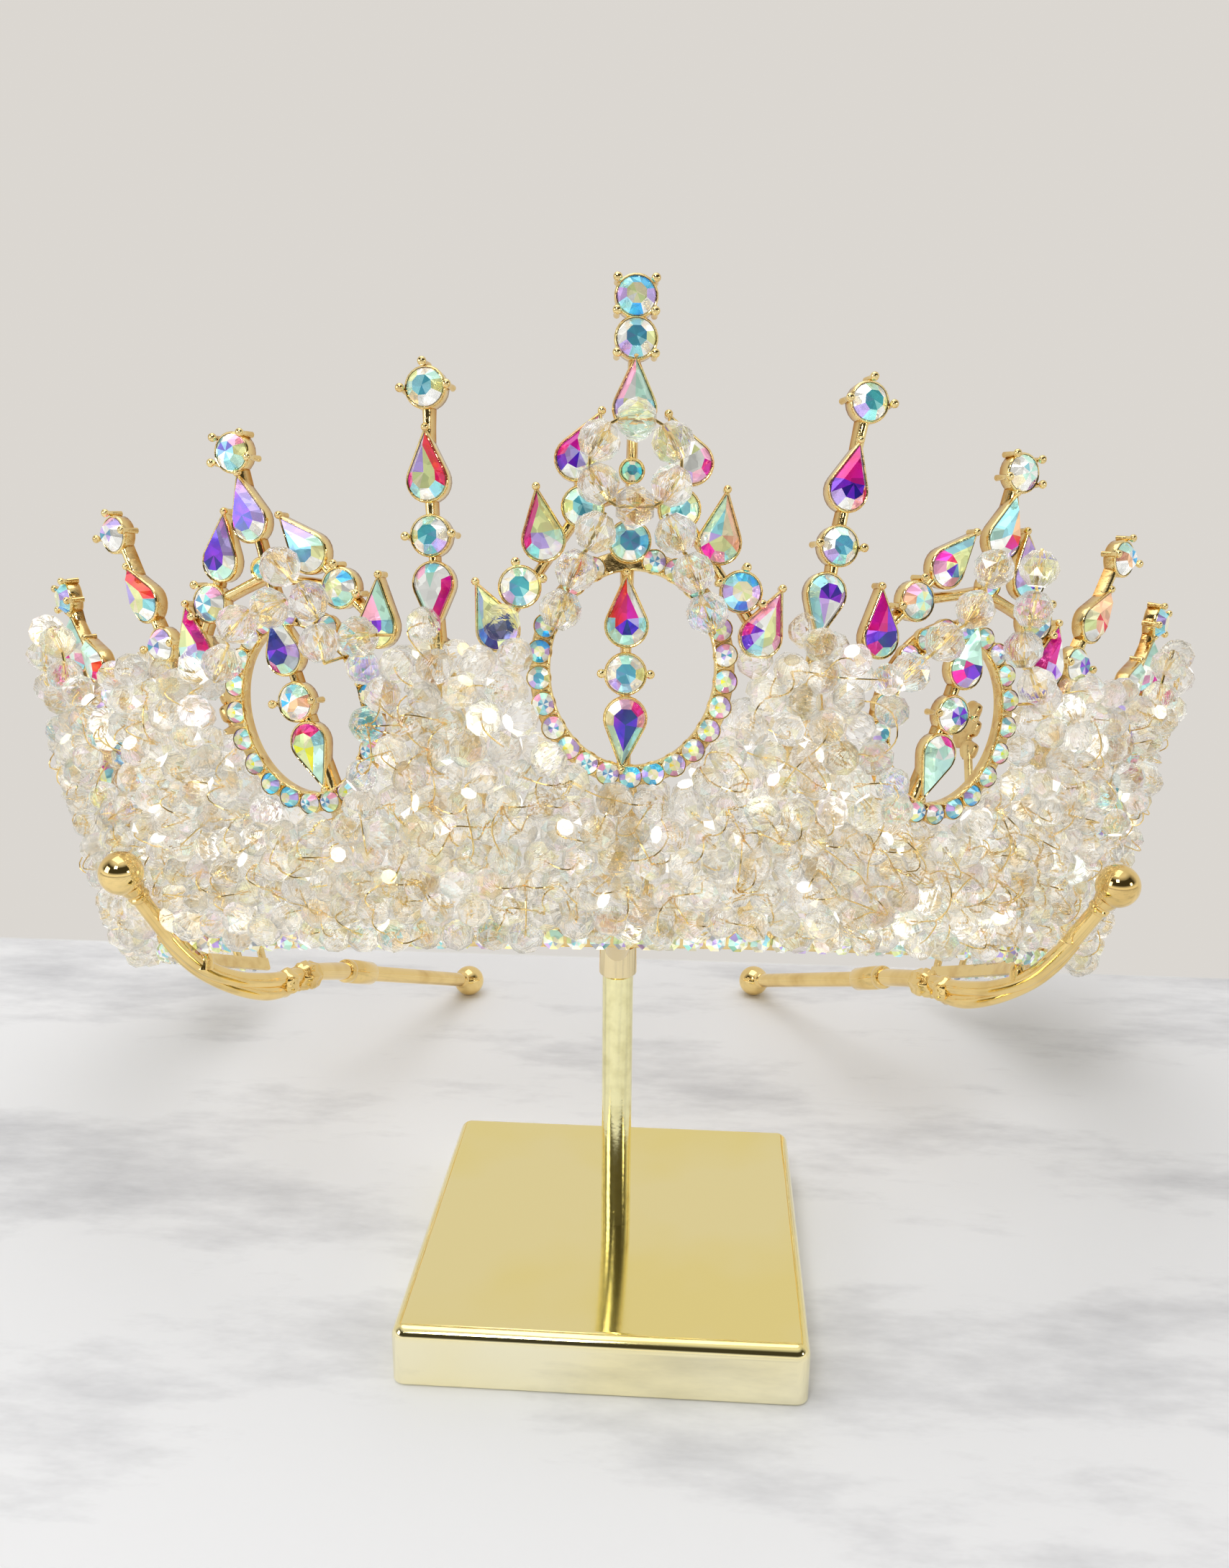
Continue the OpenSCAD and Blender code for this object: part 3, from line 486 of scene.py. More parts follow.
def buildRod(s, side, name, node):
    ball, sleeveEnd = np.array([*s["rearPlace"], rearHeight(s, side)]), np.array(s["sleeveEnd"])
    front, second, joint = (np.array(s["route"][i][:3], float) for i in (0, 1, -1))
    upright = np.array([0, 0, 1.0])
    shapes = [
        tubeRings(smoothPath(s["route"]), 20), tubeRings(smoothPath(s["lobe"]), 18),
        turnedRings(front, second, ballProfile(s["frontBall"]), 36), turnedRings(front, second, s["neck"]),
        *(turnedRings(*collar) for collar in s["collars"]),
        spanRings(joint, sleeveEnd, s["sleeve"]), spanRings(sleeveEnd, ball, s["bar"]),
        turnedRings(ball, ball + upright, ballProfile(s["rearBall"]), 36)]
    spin, flip = turned("Z", s["turn"]), np.array([side, 1, 1])
    parts = [gridPart(seat((r * flip) @ spin.T)) for r in shapes]
    lug = wall(s["lugU"], tiara["bandFoot"], -tiara["bandThickness"] / 2)
    stem = turnedRings(*(lug - drop * upright for drop in s["lugDrop"]), s["lug"], 16)
    makePiece(name, parts + [gridPart(seat(stem * flip))], gold["rodGold"], [node], 40)


buildRod(rods, -1, "sideRodLeft", "side_rod_left")
buildRod(rods, 1, "sideRodRight", "side_rod_right")
print("side rods made")

# Motifs: stones as kind, x, y, clockwise turn of the tip and look; mm in the motif's plane
roundRadius, pearRadius, pearTip, smallRadius, rimRadius = 2.75, 2.85, 6.9, 1.5, 1.63
ringWidth, rimRoom, garlandHeight, garlandScale = 3.3, 1.2, 7.0, 1.06
motifs = {
    "centre": {
        "places": {"centre": (0.0, 55.0)},
        "stones": [
            ("round", -0.4, 40, 0, "sky"), ("round", -0.3, 34.2, 0, "aqua"), ("pear", -0.3, 24.5, 0, "opal"),
            ("pear", -8.4, 17.3, 27, "plum"), ("pear", 8, 17.1, -27, "pearl"), ("small", -0.5, 15.8, 0, "teal"),
            ("round", -7.4, 10.6, 0, "mint"), ("round", 6.4, 10.6, 0, "mint"), ("round", -0.6, 5.9, 0, "teal"),
            ("pear", -12.9, 5.8, -9, "rose"), ("pear", 12.3, 6, 7, "peach"), ("round", -16.2, -0.9, 0, "aqua"),
            ("round", 15.6, -0.9, 0, "sky"), ("pear", -19.2, -7.1, -26, "navy"), ("pear", 18.6, -7.3, 23, "lilac"),
            ("pear", -0.8, -6.1, -1, "violet"), ("round", -0.8, -13, 0, "aqua"),
            ("pear", -0.7, -19.4, 183, "garnet")],
        "bars": [[-0.5, 3, -0.4, 38], [-0.8, 2, -0.7, -26.5], [-0.5, 13, -7.4, 10.6], [-0.5, 13, 6.4, 10.6],
                 [-7.4, 10.6, -8.4, 17.3], [6.4, 10.6, 8, 17.1], [-7.4, 10.6, -19.2, -7.1],
                 [6.4, 10.6, 18.6, -7.3]],
        "oval": (0.2, -12.2, 11.9, 14.0, 0.0), "rim": (12, 14.0),
        "prongs": {0: (40, 140, 220, 320), 1: (220, 320), 11: (100, 20, 250), 12: (80, 160, 330), 16: (0, 180)},
        "ring": (-0.2, 16.2, 5.9, 6),
        "strandsAt": {"centre": [[[-5.6, 6.6], [-8.2, 1.3], [-10.3, -4.2]],
                                 [[5.6, 6.6], [8.2, 1.3], [10.3, -4.2]]]},
    },
    "leftSpire": {
        "places": {"leftSpire": (-24.5, 65.0)},
        "stones": [("round", -0.4, 18.3, 0, "mint"), ("pear", -0.1, 5.1, 0, "ruby"),
                   ("round", -0.2, -2.8, 0, "aqua"), ("pear", -0.3, -9.6, 178, "blush")],
        "bars": [[-0.4, -19.5, -0.1, 5], [-0.1, 5, -0.4, 17]], "prongs": {0: (0, 90, 180), 2: (0, 180)},
    },
    "rightSpire": {
        "places": {"rightSpire": (24.5, 65.0)},
        "stones": [("round", 3.6, 18.4, 0, "aqua"), ("pear", 1.4, 5.3, 10, "amethyst"),
                   ("round", 0.8, -2.8, 0, "aqua"), ("pear", -0.6, -9.9, 188, "indigo")],
        "bars": [[-0.6, -19.5, 0.8, -2], [0.8, -2, 3.5, 17]], "prongs": {0: (0, 90, 180), 2: (0, 180)},
    },
    "side": {
        "places": {"leftSide": (-44.0, 50.0), "rightSide": (44.0, 50.0)},
        "stones": [
            ("round", 7.1, 27.8, 0, "deepRound"), ("pear", 5.4, 17.2, 9, "dusk"),
            ("pear", -4.4, 11.4, 36, "skyRose"), ("pear", 11.6, 12, -14, "iris"),
            ("round", -9, 5.7, 0, "limeRound"), ("round", 14.4, 5.9, 0, "greyRim"),
            ("pear", -14.6, -0.6, -9, "violetLime"), ("pear", 18.2, -1.2, 6, "rose"),
            ("small", 4.3, 10, 0, "aqua"), ("pear", 2, -3.2, 8, "ultra"),
            ("round", 0.9, -10.4, 0, "peachRound"), ("pear", -0.6, -16.6, 195, "citrine")],
        "looks": {"rightSide": "paleRound flame flameRose sapphire opalRound greyRim fuchsia plum aqua splitMint "
                               "violetRound mintPear"},
        "bars": [[2.2, 1, 7, 27], [3.3, 1.5, -3.7, -24.6], [4, 9, -9, 5.7], [4, 9, 14.4, 5.9],
                 [-9, 5.7, -4.4, 12], [14.4, 5.9, 11.6, 12.4], [-9, 5.7, -14.6, -0.6], [14.4, 5.9, 18.2, -1.2]],
        "oval": (0.0, -11.6, 10.3, 12.8, 12.0), "rim": (10, 17.0),
        "prongs": {0: (45, 135, 200, 340), 4: (90, 200), 5: (60, 330), 10: (0, 180)},
        "strandsAt": {
            "leftSide": [[[9.9, -3.6], [6.4, 1.9], [0.3, 3.7]], [[-2.4, 9.4], [-6.6, 4], [-7.6, -2.2]],
                         [[-14.2, -2]]],
            "rightSide": [[[12.2, -4.2], [8.4, 0.9], [9.1, 7.1], [9, 13.3]],
                          [[0.4, 11.9], [-1.9, 5.5], [-6.6, 0], [-11.9, -5.2]]]},
    },
    "outerSpire": {
        "places": {"leftOuterSpire": (-66.0, 58.0), "rightOuterSpire": (66.0, 58.0)},
        "stones": [("round", 8.1, 13, 0, "lilacRound"), ("pear", 2.6, 0.7, 28, "ruby"),
                   ("round", 0.2, -6.6, 0, "lilacRound")],
        "bars": [[-0.8, -12.6, 0.2, -6.3], [0.2, -6.3, 7.9, 13]], "prongs": {0: (0, 90, 180), 2: (0, 180)},
        "looks": {"rightOuterSpire": "peachRound amber violetRound"},
    },
    "end": {
        "places": {"leftEnd": (-88.0, 50.0), "rightEnd": (88.0, 50.0)},
        "stones": [
            ("round", 3.6, 16.6, 0, "sky"), ("pear", 2.1, 6.2, 9, "blush"), ("pear", -6.4, 1.8, 34, "mintPear"),
            ("pear", 9.6, 2.2, -20, "rose"), ("round", -11, -4, 0, "lilacRound"), ("round", 13, -4, 0, "aqua"),
            ("small", 1.6, -0.2, 0, "aqua"), ("round", 0.4, -9.6, 0, "mint"), ("pear", -0.4, -16, 190, "citrine")],
        "bars": [[0.4, -4, 3.6, 15.7], [0.8, -5, -2.2, -23.6], [1, -1.5, -11, -4], [1, -1.5, 13, -4],
                 [-11, -4, -6.4, 1.8], [13, -4, 9.6, 2.2]],
        "oval": (0.0, -14.5, 7.6, 8.6, 12.0), "rim": (8, 21.0), "prongs": {0: (45, 135, 200, 340)},
        "ring": (2.4, 4.8, 5.9, 6), "strandsAt": {"leftEnd": [], "rightEnd": []},
    },
}


# A place's name as the part's nodes spell it
def nodeName(name):
    return "".join("_" + c.lower() if c.isupper() else c for c in name)


# The nodes that a motif's stones stand for: one for each stone at the front, one for all elsewhere
def stoneNodes(name, count):
    if name in ("centre", "leftSpire", "rightSpire"):
        return [f"{nodeName(name)}_stone_{i + 1}" for i in range(count)]
    return [nodeName(name) + "_stones"]


# The node for all rim stones or all garland beads of a motif, whose name leaves out the word side
def motifNode(name, rest):
    return nodeName(name.replace("Side", "")) + rest


# Tints of the iridescent coat, linear, by letter: lime, mint, aqua, teal, blue, navy, violet, (i) lilac,
# (g) magenta, red, (o) rose, pearl, cream, (h) peach, sky, yellow, (e) grey and (k) steel
coat = {
    "l": (0.70, 0.76, 0.36), "m": (0.52, 0.82, 0.70), "a": (0.30, 0.68, 0.76), "t": (0.08, 0.36, 0.48),
    "b": (0.04, 0.16, 0.56), "n": (0.01, 0.01, 0.24), "v": (0.15, 0.02, 0.58), "i": (0.50, 0.38, 0.78),
    "g": (0.66, 0.01, 0.28), "r": (0.74, 0.02, 0.05), "o": (0.80, 0.36, 0.52), "p": (0.82, 0.83, 0.80),
    "c": (0.82, 0.76, 0.50), "h": (0.80, 0.45, 0.28), "s": (0.06, 0.48, 0.90), "y": (0.85, 0.80, 0.05),
    "e": (0.42, 0.46, 0.50), "k": (0.12, 0.30, 0.48),
}
# How they lie on a stone: its table, then its crown from the left of the tip round the foot to its right; the
# table's tints are painted reflections of the back facets
pearLooks = {
    "opal": "pllllpm oipmpam", "plum": "giivipp ggvpplp", "pearl": "vpppppl lpiogop", "rose": "liiipml ggappml",
    "peach": "ailllhc mpgomhh", "navy": "lnnnnnl abnlill", "lilac": "pvimlll ogvapog",
    "violet": "rrvnvig rammpap", "garnet": "nvnnnvv aogopcm", "ruby": "llllcli rrapagi",
    "amethyst": "gvnvnvg gvipori", "blush": "pppmppp mpoapgg", "citrine": "lyllcly mpgggam",
    "mintPear": "mmpmmpm mprgpmm", "sapphire": "lnvnvvl iiampam", "indigo": "pvnvnvi pimpama",
    "flame": "aapggrh amppihy", "flameRose": "lrlvkll agopoma", "dusk": "vnvnnvv iipmpgr",
    "skyRose": "iikkkkk imlpppg", "iris": "vvnvnvv ipmmpgo", "violetLime": "ovvllvo mallaio",
    "ultra": "nvnnnvn piemgmi", "fuchsia": "gvnnnnv gvgmmpp", "splitMint": "mgvvvnm mmgipmm",
    "amber": "hrhhcrh hclppih",
}
roundLooks = {
    "aqua": "tttkttat pmppiapl", "mint": "aataataa lpmlppcm", "teal": "ktktktkt apaampas",
    "sky": "cclcpclc ssaiaspi", "lilacRound": "ippkippt poipppcp", "limeRim": "lclyllcl ipapmopi",
    "deepRound": "nknkakpk apolmapm", "limeRound": "lclclpcl apspmapi", "paleRound": "mpapmpmp amppcpip",
    "opalRound": "mlmamlme spohpmpa", "violetRound": "vkivkivk apmpplpa", "peachRound": "psphhhps pamhpplp",
    "greyRim": "kpakpakp pmoplapi",
}
rimLooks = ("limeRim", "greyRim", "sky", "aqua", "lilacRound")
# Painted glow: the stones' facets glow though they are no lamp, standing in for light sent back from their foil
# backs; a few glow brighter as painted glints
paintedFacetGlow, paintedFlashGlow = 0.26, 0.6


# Rows of tint and painted glow for a look's letters; a few facets get a brighter painted glint
def tints(letters, spread=0.18, flash=0.12):
    rows = np.array([coat[c] for c in letters])
    glow = np.where(chance.random(len(rows)) < flash, paintedFlashGlow, paintedFacetGlow)
    return np.column_stack([np.clip(rows * (1 + spread * chance.uniform(-1, 1, (len(rows), 1))), 0, 1), glow])


# Circle of radius r as an outline, per points to each of eight corners
def roundOutline(r, per=3):
    a = np.radians(22.5) + np.linspace(0, 2 * np.pi, 8 * per, endpoint=False)
    return r * np.stack([np.cos(a), np.sin(a)], -1)


# Pear grown by g: from the tip down a straight side, round the foot's circle and back up
def pearOutline(g, corners=7, per=3):
    r, tip = pearRadius + g, np.array([0, pearTip * (1 + g / pearRadius)])
    t = math.acos(r / tip[1])
    a = np.linspace(np.pi / 2 + t, 2.5 * np.pi - t, (corners - 2) * per + 1)
    arc = r * np.stack([np.cos(a), np.sin(a)], -1)
    step = np.linspace(0, 1, per, endpoint=False)[:, None]
    return np.concatenate([tip + step * (arc[0] - tip), arc, (arc[-1] + step * (tip - arc[-1]))[1:]])


# A row's outline in the motif's plane, grown by g
def stoneOutline(row, g=0.0):
    kind, x, y, turn = row[:4]
    radii = {"round": roundRadius, "small": smallRadius, "rim": rimRadius}
    shape = pearOutline(g) if kind == "pear" else roundOutline(radii[kind] + g)
    t = math.radians(-turn)
    spin = np.array([[math.cos(t), math.sin(t)], [-math.sin(t), math.cos(t)]])
    return shape @ spin + np.array([x, y])


# Cut stones: the girdle's two heights and the table's over the floor of the cup, and the outline's share at the
# base, girdle and table; a pear's middle lies a little towards its tip
stoneCut = {"floor": 1.35, "heights": (0.9, 1.15, 2.5), "smallHeights": (0.65, 0.8, 1.9), "base": 0.5,
            "girdle": 0.985, "roundTable": 0.55, "pearTable": 0.64, "smallTable": 0.5, "pearLift": 0.9, "per": 3,
            "baseTint": (0.42, 0.46, 0.50, 0.1)}


# Base, two girdle rings, then crown facets up to a table that is split from its middle, so that its parts carry
# painted reflections of the back facets
def stonePart(row, place, s):
    kind, x, y, turn, look = row
    pear, small = kind == "pear", kind in ("small", "rim")
    outline, t, per = stoneOutline(row), math.radians(-turn), s["per"]
    n, corners = len(outline), len(outline) // per
    lift = s["pearLift"] if pear else 0.0
    centre = np.array([x - lift * math.sin(t), y + lift * math.cos(t)])
    share = s["pearTable" if pear else "smallTable" if small else "roundTable"]
    low, high, top = s["smallHeights" if small else "heights"]
    rings = atHeights([(centre + k * (outline - centre), s["floor"] + z)
                       for k, z in ((s["base"], 0.0), (s["girdle"], low), (s["girdle"], high))])
    table = atHeights([(centre + share * (outline[::per] - centre), s["floor"] + top)])
    points = np.concatenate([rings.reshape(-1, 3), table[0], [[*centre, s["floor"] + top]]])
    faces = gridFaces(3, n)[:-1]
    crown = [[2 * n + (k * per + i) % n for i in range(per + 1)] + [3 * n + (k + 1) % corners, 3 * n + k]
             for k in range(corners)]
    split = [[3 * n + k, 3 * n + (k + 1) % corners, 3 * n + corners] for k in range(corners)]
    tableLook, crownLook = (pearLooks if pear else roundLooks)[look].split()
    tableTints, crownTints = tints(tableLook, 0.05, 0), tints(crownLook)
    body = np.tile(s["baseTint"], (len(faces), 1))
    return part(onWall(points, place), faces + crown + split, tint=np.concatenate([body, crownTints, tableTints]))


# Point of an oval grown by g at angle a: an ellipse turned clockwise by its lean
def ovalPoints(oval, g, a):
    x, y, t = (oval[2] + g) * np.cos(a), (oval[3] + g) * np.sin(a), math.radians(oval[4])
    return np.stack([oval[0] + x * math.cos(t) + y * math.sin(t), oval[1] - x * math.sin(t) + y * math.cos(t)], -1)


# Rim stones at even angles all round an opening, left out where a larger stone already sits
def rimRows(m):
    count, step = m["rim"]
    spots = ovalPoints(m["oval"], ringWidth / 2, np.radians(-90 + np.arange(-count, count + 1) * step))
    others = np.array([row[1:3] for row in m["stones"]], float)
    clear = np.linalg.norm(spots[:, None] - others[None], axis=-1).min(1) > roundRadius + rimRoom
    looks = np.random.default_rng(5).integers(0, len(rimLooks), len(spots))
    return [("rim", *p, 0, rimLooks[i]) for p, i in zip(spots[clear], looks[clear])]


# Stones of a motif at one of its places, whose looks may be its own
def rowsAt(m, name):
    looks = m.get("looks", {}).get(name)
    return [(*row[:4], look) for row, look in zip(m["stones"], looks.split())] if looks else m["stones"]


def cutStones(name, rows, place, nodes):
    makePiece(name, [stonePart(row, place, stoneCut) for row in rows], irisGlass, nodes)


for motif in motifs.values():
    for name, place in motif["places"].items():
        rows = rowsAt(motif, name)
        cutStones(name + "Stones", rows, place, stoneNodes(name, len(rows)))
        if "rim" in motif:
            cutStones(name + "RimStones", rimRows(motif), place, [motifNode(name, "_rim_stones")])
print("stones cut")

# Cast metal in mm: cups and ring as (growth, height), knobs and prongs as (height, radius), struts from u, v to
# u, v, with a pillar under their end or none
cast = {
    "cup": [(0.12, 0.2), (0.34, 0.5), (0.40, 1.8), (0.40, 2.2), (0.34, 2.45), (0.20, 2.56), (0.08, 2.5),
            (0.03, 2.2)],
    "rimCup": [(0.0, 0.5), (0.16, 0.9), (0.22, 1.8), (0.18, 2.15), (0.08, 2.22), (0.02, 1.9)],
    "ring": [(0.05, 0.25), (-0.05, 1.2), (-0.02, 2.2), (0.12, 2.42), (0.3, 2.35), (0.42, 1.6), (2.8, 1.5),
             (3.0, 1.2), (3.0, 0.4), (2.8, 0.25)], "ringSteps": 96,
    "barHalf": 1.05, "barFoot": 0.25, "barTop": 2.3, "barWaist": 0.22, "barBlunt": 0.7,
    "prong": [(0.3, 0.5), (1.9, 0.42), (2.6, 0.36), (2.8, 0.5), (3.05, 0.64), (3.35, 0.68), (3.6, 0.58),
              (3.8, 0.3)],
    "prongReach": 0.75, "tipReach": 0.7, "railGrowth": 0.28,
    "tipKnob": [(0.3, 0.5), (1.6, 0.5), (2.0, 0.62), (2.4, 0.62), (2.7, 0.5), (2.9, 0.2)],
    "railKnob": [(1.8, 0.3), (2.2, 0.34), (2.45, 0.3), (2.6, 0.14)],
    "struts": [(18, 2, 24.1, 46.6, True), (31, 2, 24.1, 46.6, True), (37, 2, 41.6, 23.6, True),
               (48, 2, 41.6, 23.6, True), (66, 2, 65.3, 45.6, True), (82, 2, 86.4, 24.8, True),
               (92, 2, 86.4, 24.8, True), (4, 2, 0.2, 26.9, True), (108, 2, 108, 41.6, False),
               (124, 2, 124, 41.6, False), (140, 2, 140, 41.6, False), (156, 2, 156, 41.6, False),
               (164, 2, 164, 41.6, False), (164, 41, 167.5, 63, False)],
    # the shades of the struts, pillars, rail and band are even painted shade
    "strutHalf": 0.8, "strutLow": -1.1, "strutHigh": 0.2, "strutShade": 0.15,
    "pillar": [(0, 0.8), (0.3, 1.1), (2.8, 1.0), (3.0, 0.7)], "pillarShade": 0.3,
    "rail": (104.0, 165.0, 41.2, 1.2), "railShade": 0.2, "bandShade": 0.1,
    "lobeHeight": 67.0, "lobes": [(3, -5, 2.6), (5.6, -1, 2.9), (6.6, 3.6, 2.6), (3.6, 6, 2.8), (3.2, 1.2, 2.8)],
    "lobe": [(0, 0.6), (0.1, 0.9), (0.8, 1), (1.5, 0.97), (2.1, 0.8), (2.4, 0.4)],
}


# Rings in a motif's plane set on the wall as metal, with painted shade: none on the raised rims, most low down and
# little on the back
def castPart(rings, place, low=0.3, high=2.0, loop=False):
    z = rings[..., 2]
    recess = np.where(z <= low, 0.25, np.clip((high - z) / (high - low), 0, 1) * 0.8)
    return gridPart(onWall(rings, place), loop, recess=recess)


def cupPart(row, place, profile):
    return castPart(atHeights([(stoneOutline(row, g), z) for g, z in profile]), place)


def ovalPart(oval, place, s):
    a = np.linspace(0, 2 * np.pi, s["ringSteps"], endpoint=False)
    return castPart(atHeights([(ovalPoints(oval, g, a), z) for g, z in s["ring"]]), place, loop=True)


# Bar between two points: half an ellipse on a flat foot, narrower midway, carried along in seven steps
def barPart(bar, place, s):
    a, b = np.array(bar[:2], float), np.array(bar[2:], float)
    ahead = (b - a) / np.linalg.norm(b - a)
    t = np.linspace(0, np.pi, 9)
    z = s["barFoot"] + (s["barTop"] - s["barFoot"]) * np.sin(t) ** s["barBlunt"]
    along = np.linspace(0, 1, 7)[:, None, None]
    across = (1 - s["barWaist"] * np.sin(np.pi * along)) * (s["barHalf"] * np.cos(t))[:, None]
    flat = a + along * (b - a) + across * np.array([-ahead[1], ahead[0]])
    z = np.broadcast_to(z[:, None], flat.shape[:2] + (1,))
    return castPart(np.concatenate([flat, z], -1), place, 0.2, 2.2)


# Small knob or prong of cast metal at a point of the motif's plane
def knobPart(x, y, place, profile, around=10):
    return castPart(turnedRings([x, y, 0], [x, y, 1], profile, around), place, 0.3, 2.4)


def prongPart(row, angle, place, s):
    reach, a = roundRadius + s["prongReach"], math.radians(angle)
    return knobPart(row[1] + reach * math.cos(a), row[2] + reach * math.sin(a), place, s["prong"], 12)


# Knobs at the tips of the pears, and on an opening's rail between its rim stones
def knobParts(m, place, s):
    spots = []
    for kind, x, y, turn, look in m["stones"]:
        if kind == "pear":
            t, reach = math.radians(-turn), pearTip + s["tipReach"]
            spots.append((x - reach * math.sin(t), y + reach * math.cos(t), s["tipKnob"]))
    if "rim" in m:
        count, step = m["rim"]
        a = np.radians(-90 + (np.arange(-count, count) + 0.5) * step)
        spots += [(x, y, s["railKnob"]) for x, y in ovalPoints(m["oval"], s["railGrowth"], a)]
    return [knobPart(x, y, place, profile) for x, y, profile in spots]


# Flat strip with rounded edges, its path straight in u and v and so bent with the wall
def stripPart(u0, v0, u1, v1, half, low, high, steps, shade):
    t = np.linspace(0, 2 * np.pi, 12, endpoint=False)
    across, up = (np.sign(w) * np.abs(w) ** 0.45 for w in (np.cos(t), np.sin(t)))
    run = np.array([u1 - u0, v1 - v0]) / math.hypot(u1 - u0, v1 - v0)
    along = np.linspace(0, 1, steps)[:, None]
    u = u0 + along * (u1 - u0) - half * across * run[1]
    v = v0 + along * (v1 - v0) + half * across * run[0]
    rings = wall(u, v, ((low + high) / 2 + (high - low) / 2 * up)[None])
    return gridPart(seat(rings), recess=shade)


def buildFrame(s):
    parts = []
    for m in motifs.values():
        for place in m["places"].values():
            parts += [cupPart(row, place, s["cup"]) for row in m["stones"]]
            parts += [barPart(bar, place, s) for bar in m["bars"]] + knobParts(m, place, s)
            if "oval" in m:
                parts.append(ovalPart(m["oval"], place, s))
                parts += [cupPart(row, place, s["rimCup"]) for row in rimRows(m)]
            parts += [prongPart(m["stones"][i], a, place, s) for i, angles in m["prongs"].items() for a in angles]
    low = s["strutLow"]
    for side in (-1, 1):
        for u0, v0, u1, v1, pillar in s["struts"]:
            parts.append(stripPart(side * u0, v0, side * u1, v1, s["strutHalf"], low, s["strutHigh"], 14,
                                   s["strutShade"]))
            if pillar:
                rings = turnedRings([0, 0, low], [0, 0, 0], s["pillar"], 14)
                parts.append(gridPart(onWall(rings, (side * u1, v1)), recess=s["pillarShade"]))
        start, end, middle, half = s["rail"]
        parts.append(stripPart(side * start, middle, side * end, middle, half, -1.2, 0.0, 40, s["railShade"]))
        for x, y, r in s["lobes"]:
            rings = turnedRings([x, y, low], [x, y, 0], [(z, k * r) for z, k in s["lobe"]], 20, 0.08, 5)
            parts.append(castPart(rings, (side * tiara["bandHalf"], s["lobeHeight"]), -1.0, 1.2))
    half, end = tiara["bandHeight"] / 2, tiara["bandHalf"]
    middle = tiara["bandFoot"] + half
    parts.append(stripPart(-end, middle, end, middle, half, -tiara["bandThickness"], 0.0, 280, s["bandShade"]))
    makePiece("castFrame", parts, gold["castGold"], ["tiara_frame"], 50)


buildFrame(cast)
print("frame cast")

# Beads: a faceted rondelle along x; mm. Levels are the rings' place, radius and turn as shares; shares is how
# often each hue comes, caps and glints how often a cap or a facet gets a bright painted glint. The painted glow
# makes the glass glow though it is no lamp, and the warm tan hue paints gold seen through the glass
bead = {"radius": 2.95, "half": 2.5, "sides": 8,
        "levels": ((-1, 0.46, 0), (-0.5, 0.88, 0), (0, 1.0, 0.5), (0.5, 0.88, 0), (1, 0.46, 0)),
        "glow": 0.01, "paintedGlowSpread": 0.15, "caps": 0.12, "paintedCapGlow": 0.75, "glints": 0.005, "paintedGlintGlow": 0.9,
        "uvSpread": 20, "shares": (0.52, 0.20, 0.10, 0.06, 0.03, 0.04, 0.05),
        "hues": ((0.99, 0.99, 0.98), (0.98, 0.96, 0.91), (0.80, 0.80, 0.78), (0.98, 0.98, 0.70),
                 (0.80, 0.97, 0.98), (0.97, 0.84, 0.93), (0.90, 0.77, 0.50))}


# Rings along the thread, the middle one turned half a step, with triangles beside it; uv is the turn and the
# place along the thread
def beadShape(s):
    n = s["sides"]
    place, share, turn = (np.array(column)[:, None] for column in zip(*s["levels"]))
    a = (np.arange(n)[None] + turn) * 2 * np.pi / n
    x, radius = np.broadcast_to(place * s["half"], a.shape), share * s["radius"]
    points = np.stack([x, radius * np.cos(a), radius * np.sin(a)], -1).reshape(-1, 3)
    k, nextK = np.arange(n), (np.arange(n) + 1) % n
    faces = [list(range(n))[::-1], [4 * n + i for i in range(n)]]
    for rows in ((k, nextK, n + nextK, n + k), (3 * n + k, 3 * n + nextK, 4 * n + nextK, 4 * n + k),
                 (n + k, n + nextK, 2 * n + k), (n + nextK, 2 * n + nextK, 2 * n + k),
                 (3 * n + k, 2 * n + k, 3 * n + nextK), (3 * n + nextK, 2 * n + k, 2 * n + nextK)):
        faces += np.stack(rows, -1).tolist()
    corners = np.concatenate(faces)
    first = np.repeat([f[0] for f in faces], [len(f) for f in faces])
    around = a.ravel() / (2 * np.pi)
    turns = around[first] + (around[corners] - around[first] + 0.5) % 1 - 0.5
    return points, faces, np.stack([turns, points[corners, 0] / (2 * s["half"]) + 0.5], -1)


beadPoints, beadFaces, beadCorners = beadShape(bead)


# Beads at centres, each turned so that its thread follows axes, spun by a chance angle
def beadParts(centres, axes, away, scale):
    n = len(centres)
    axes = axes / np.linalg.norm(axes, axis=1)[:, None]
    side, over = crossways(axes, away)
    spin = chance.uniform(0, 2 * np.pi, n)[:, None]
    c, s = np.cos(spin), np.sin(spin)
    frames = np.stack([axes, c * side - s * over, -c * over - s * side], 1)
    size = np.broadcast_to(scale, n)[:, None, None]
    points = centres[:, None] + size * np.einsum("kc,ncd->nkd", beadPoints, frames)
    tint = np.array(bead["hues"])[chance.choice(len(bead["hues"]), (n, len(beadFaces)), p=bead["shares"])]
    glow = bead["glow"] + bead["paintedGlowSpread"] * chance.random(tint.shape[:2]) ** 2
    glow = np.where(chance.random(glow.shape) < bead["glints"], bead["paintedGlintGlow"], glow)
    glow[:, :2] = np.where(chance.random((n, 2)) < bead["caps"], bead["paintedCapGlow"], bead["glow"])
    shift = np.repeat(chance.uniform(0, bead["uvSpread"], (n, len(beadFaces), 2)), [len(f) for f in beadFaces], 1)
    return repeated(seat(points), beadFaces, tint=np.concatenate([tint, glow[..., None]], -1).reshape(-1, 4),
                    uv=(beadCorners + shift).reshape(-1, 2))


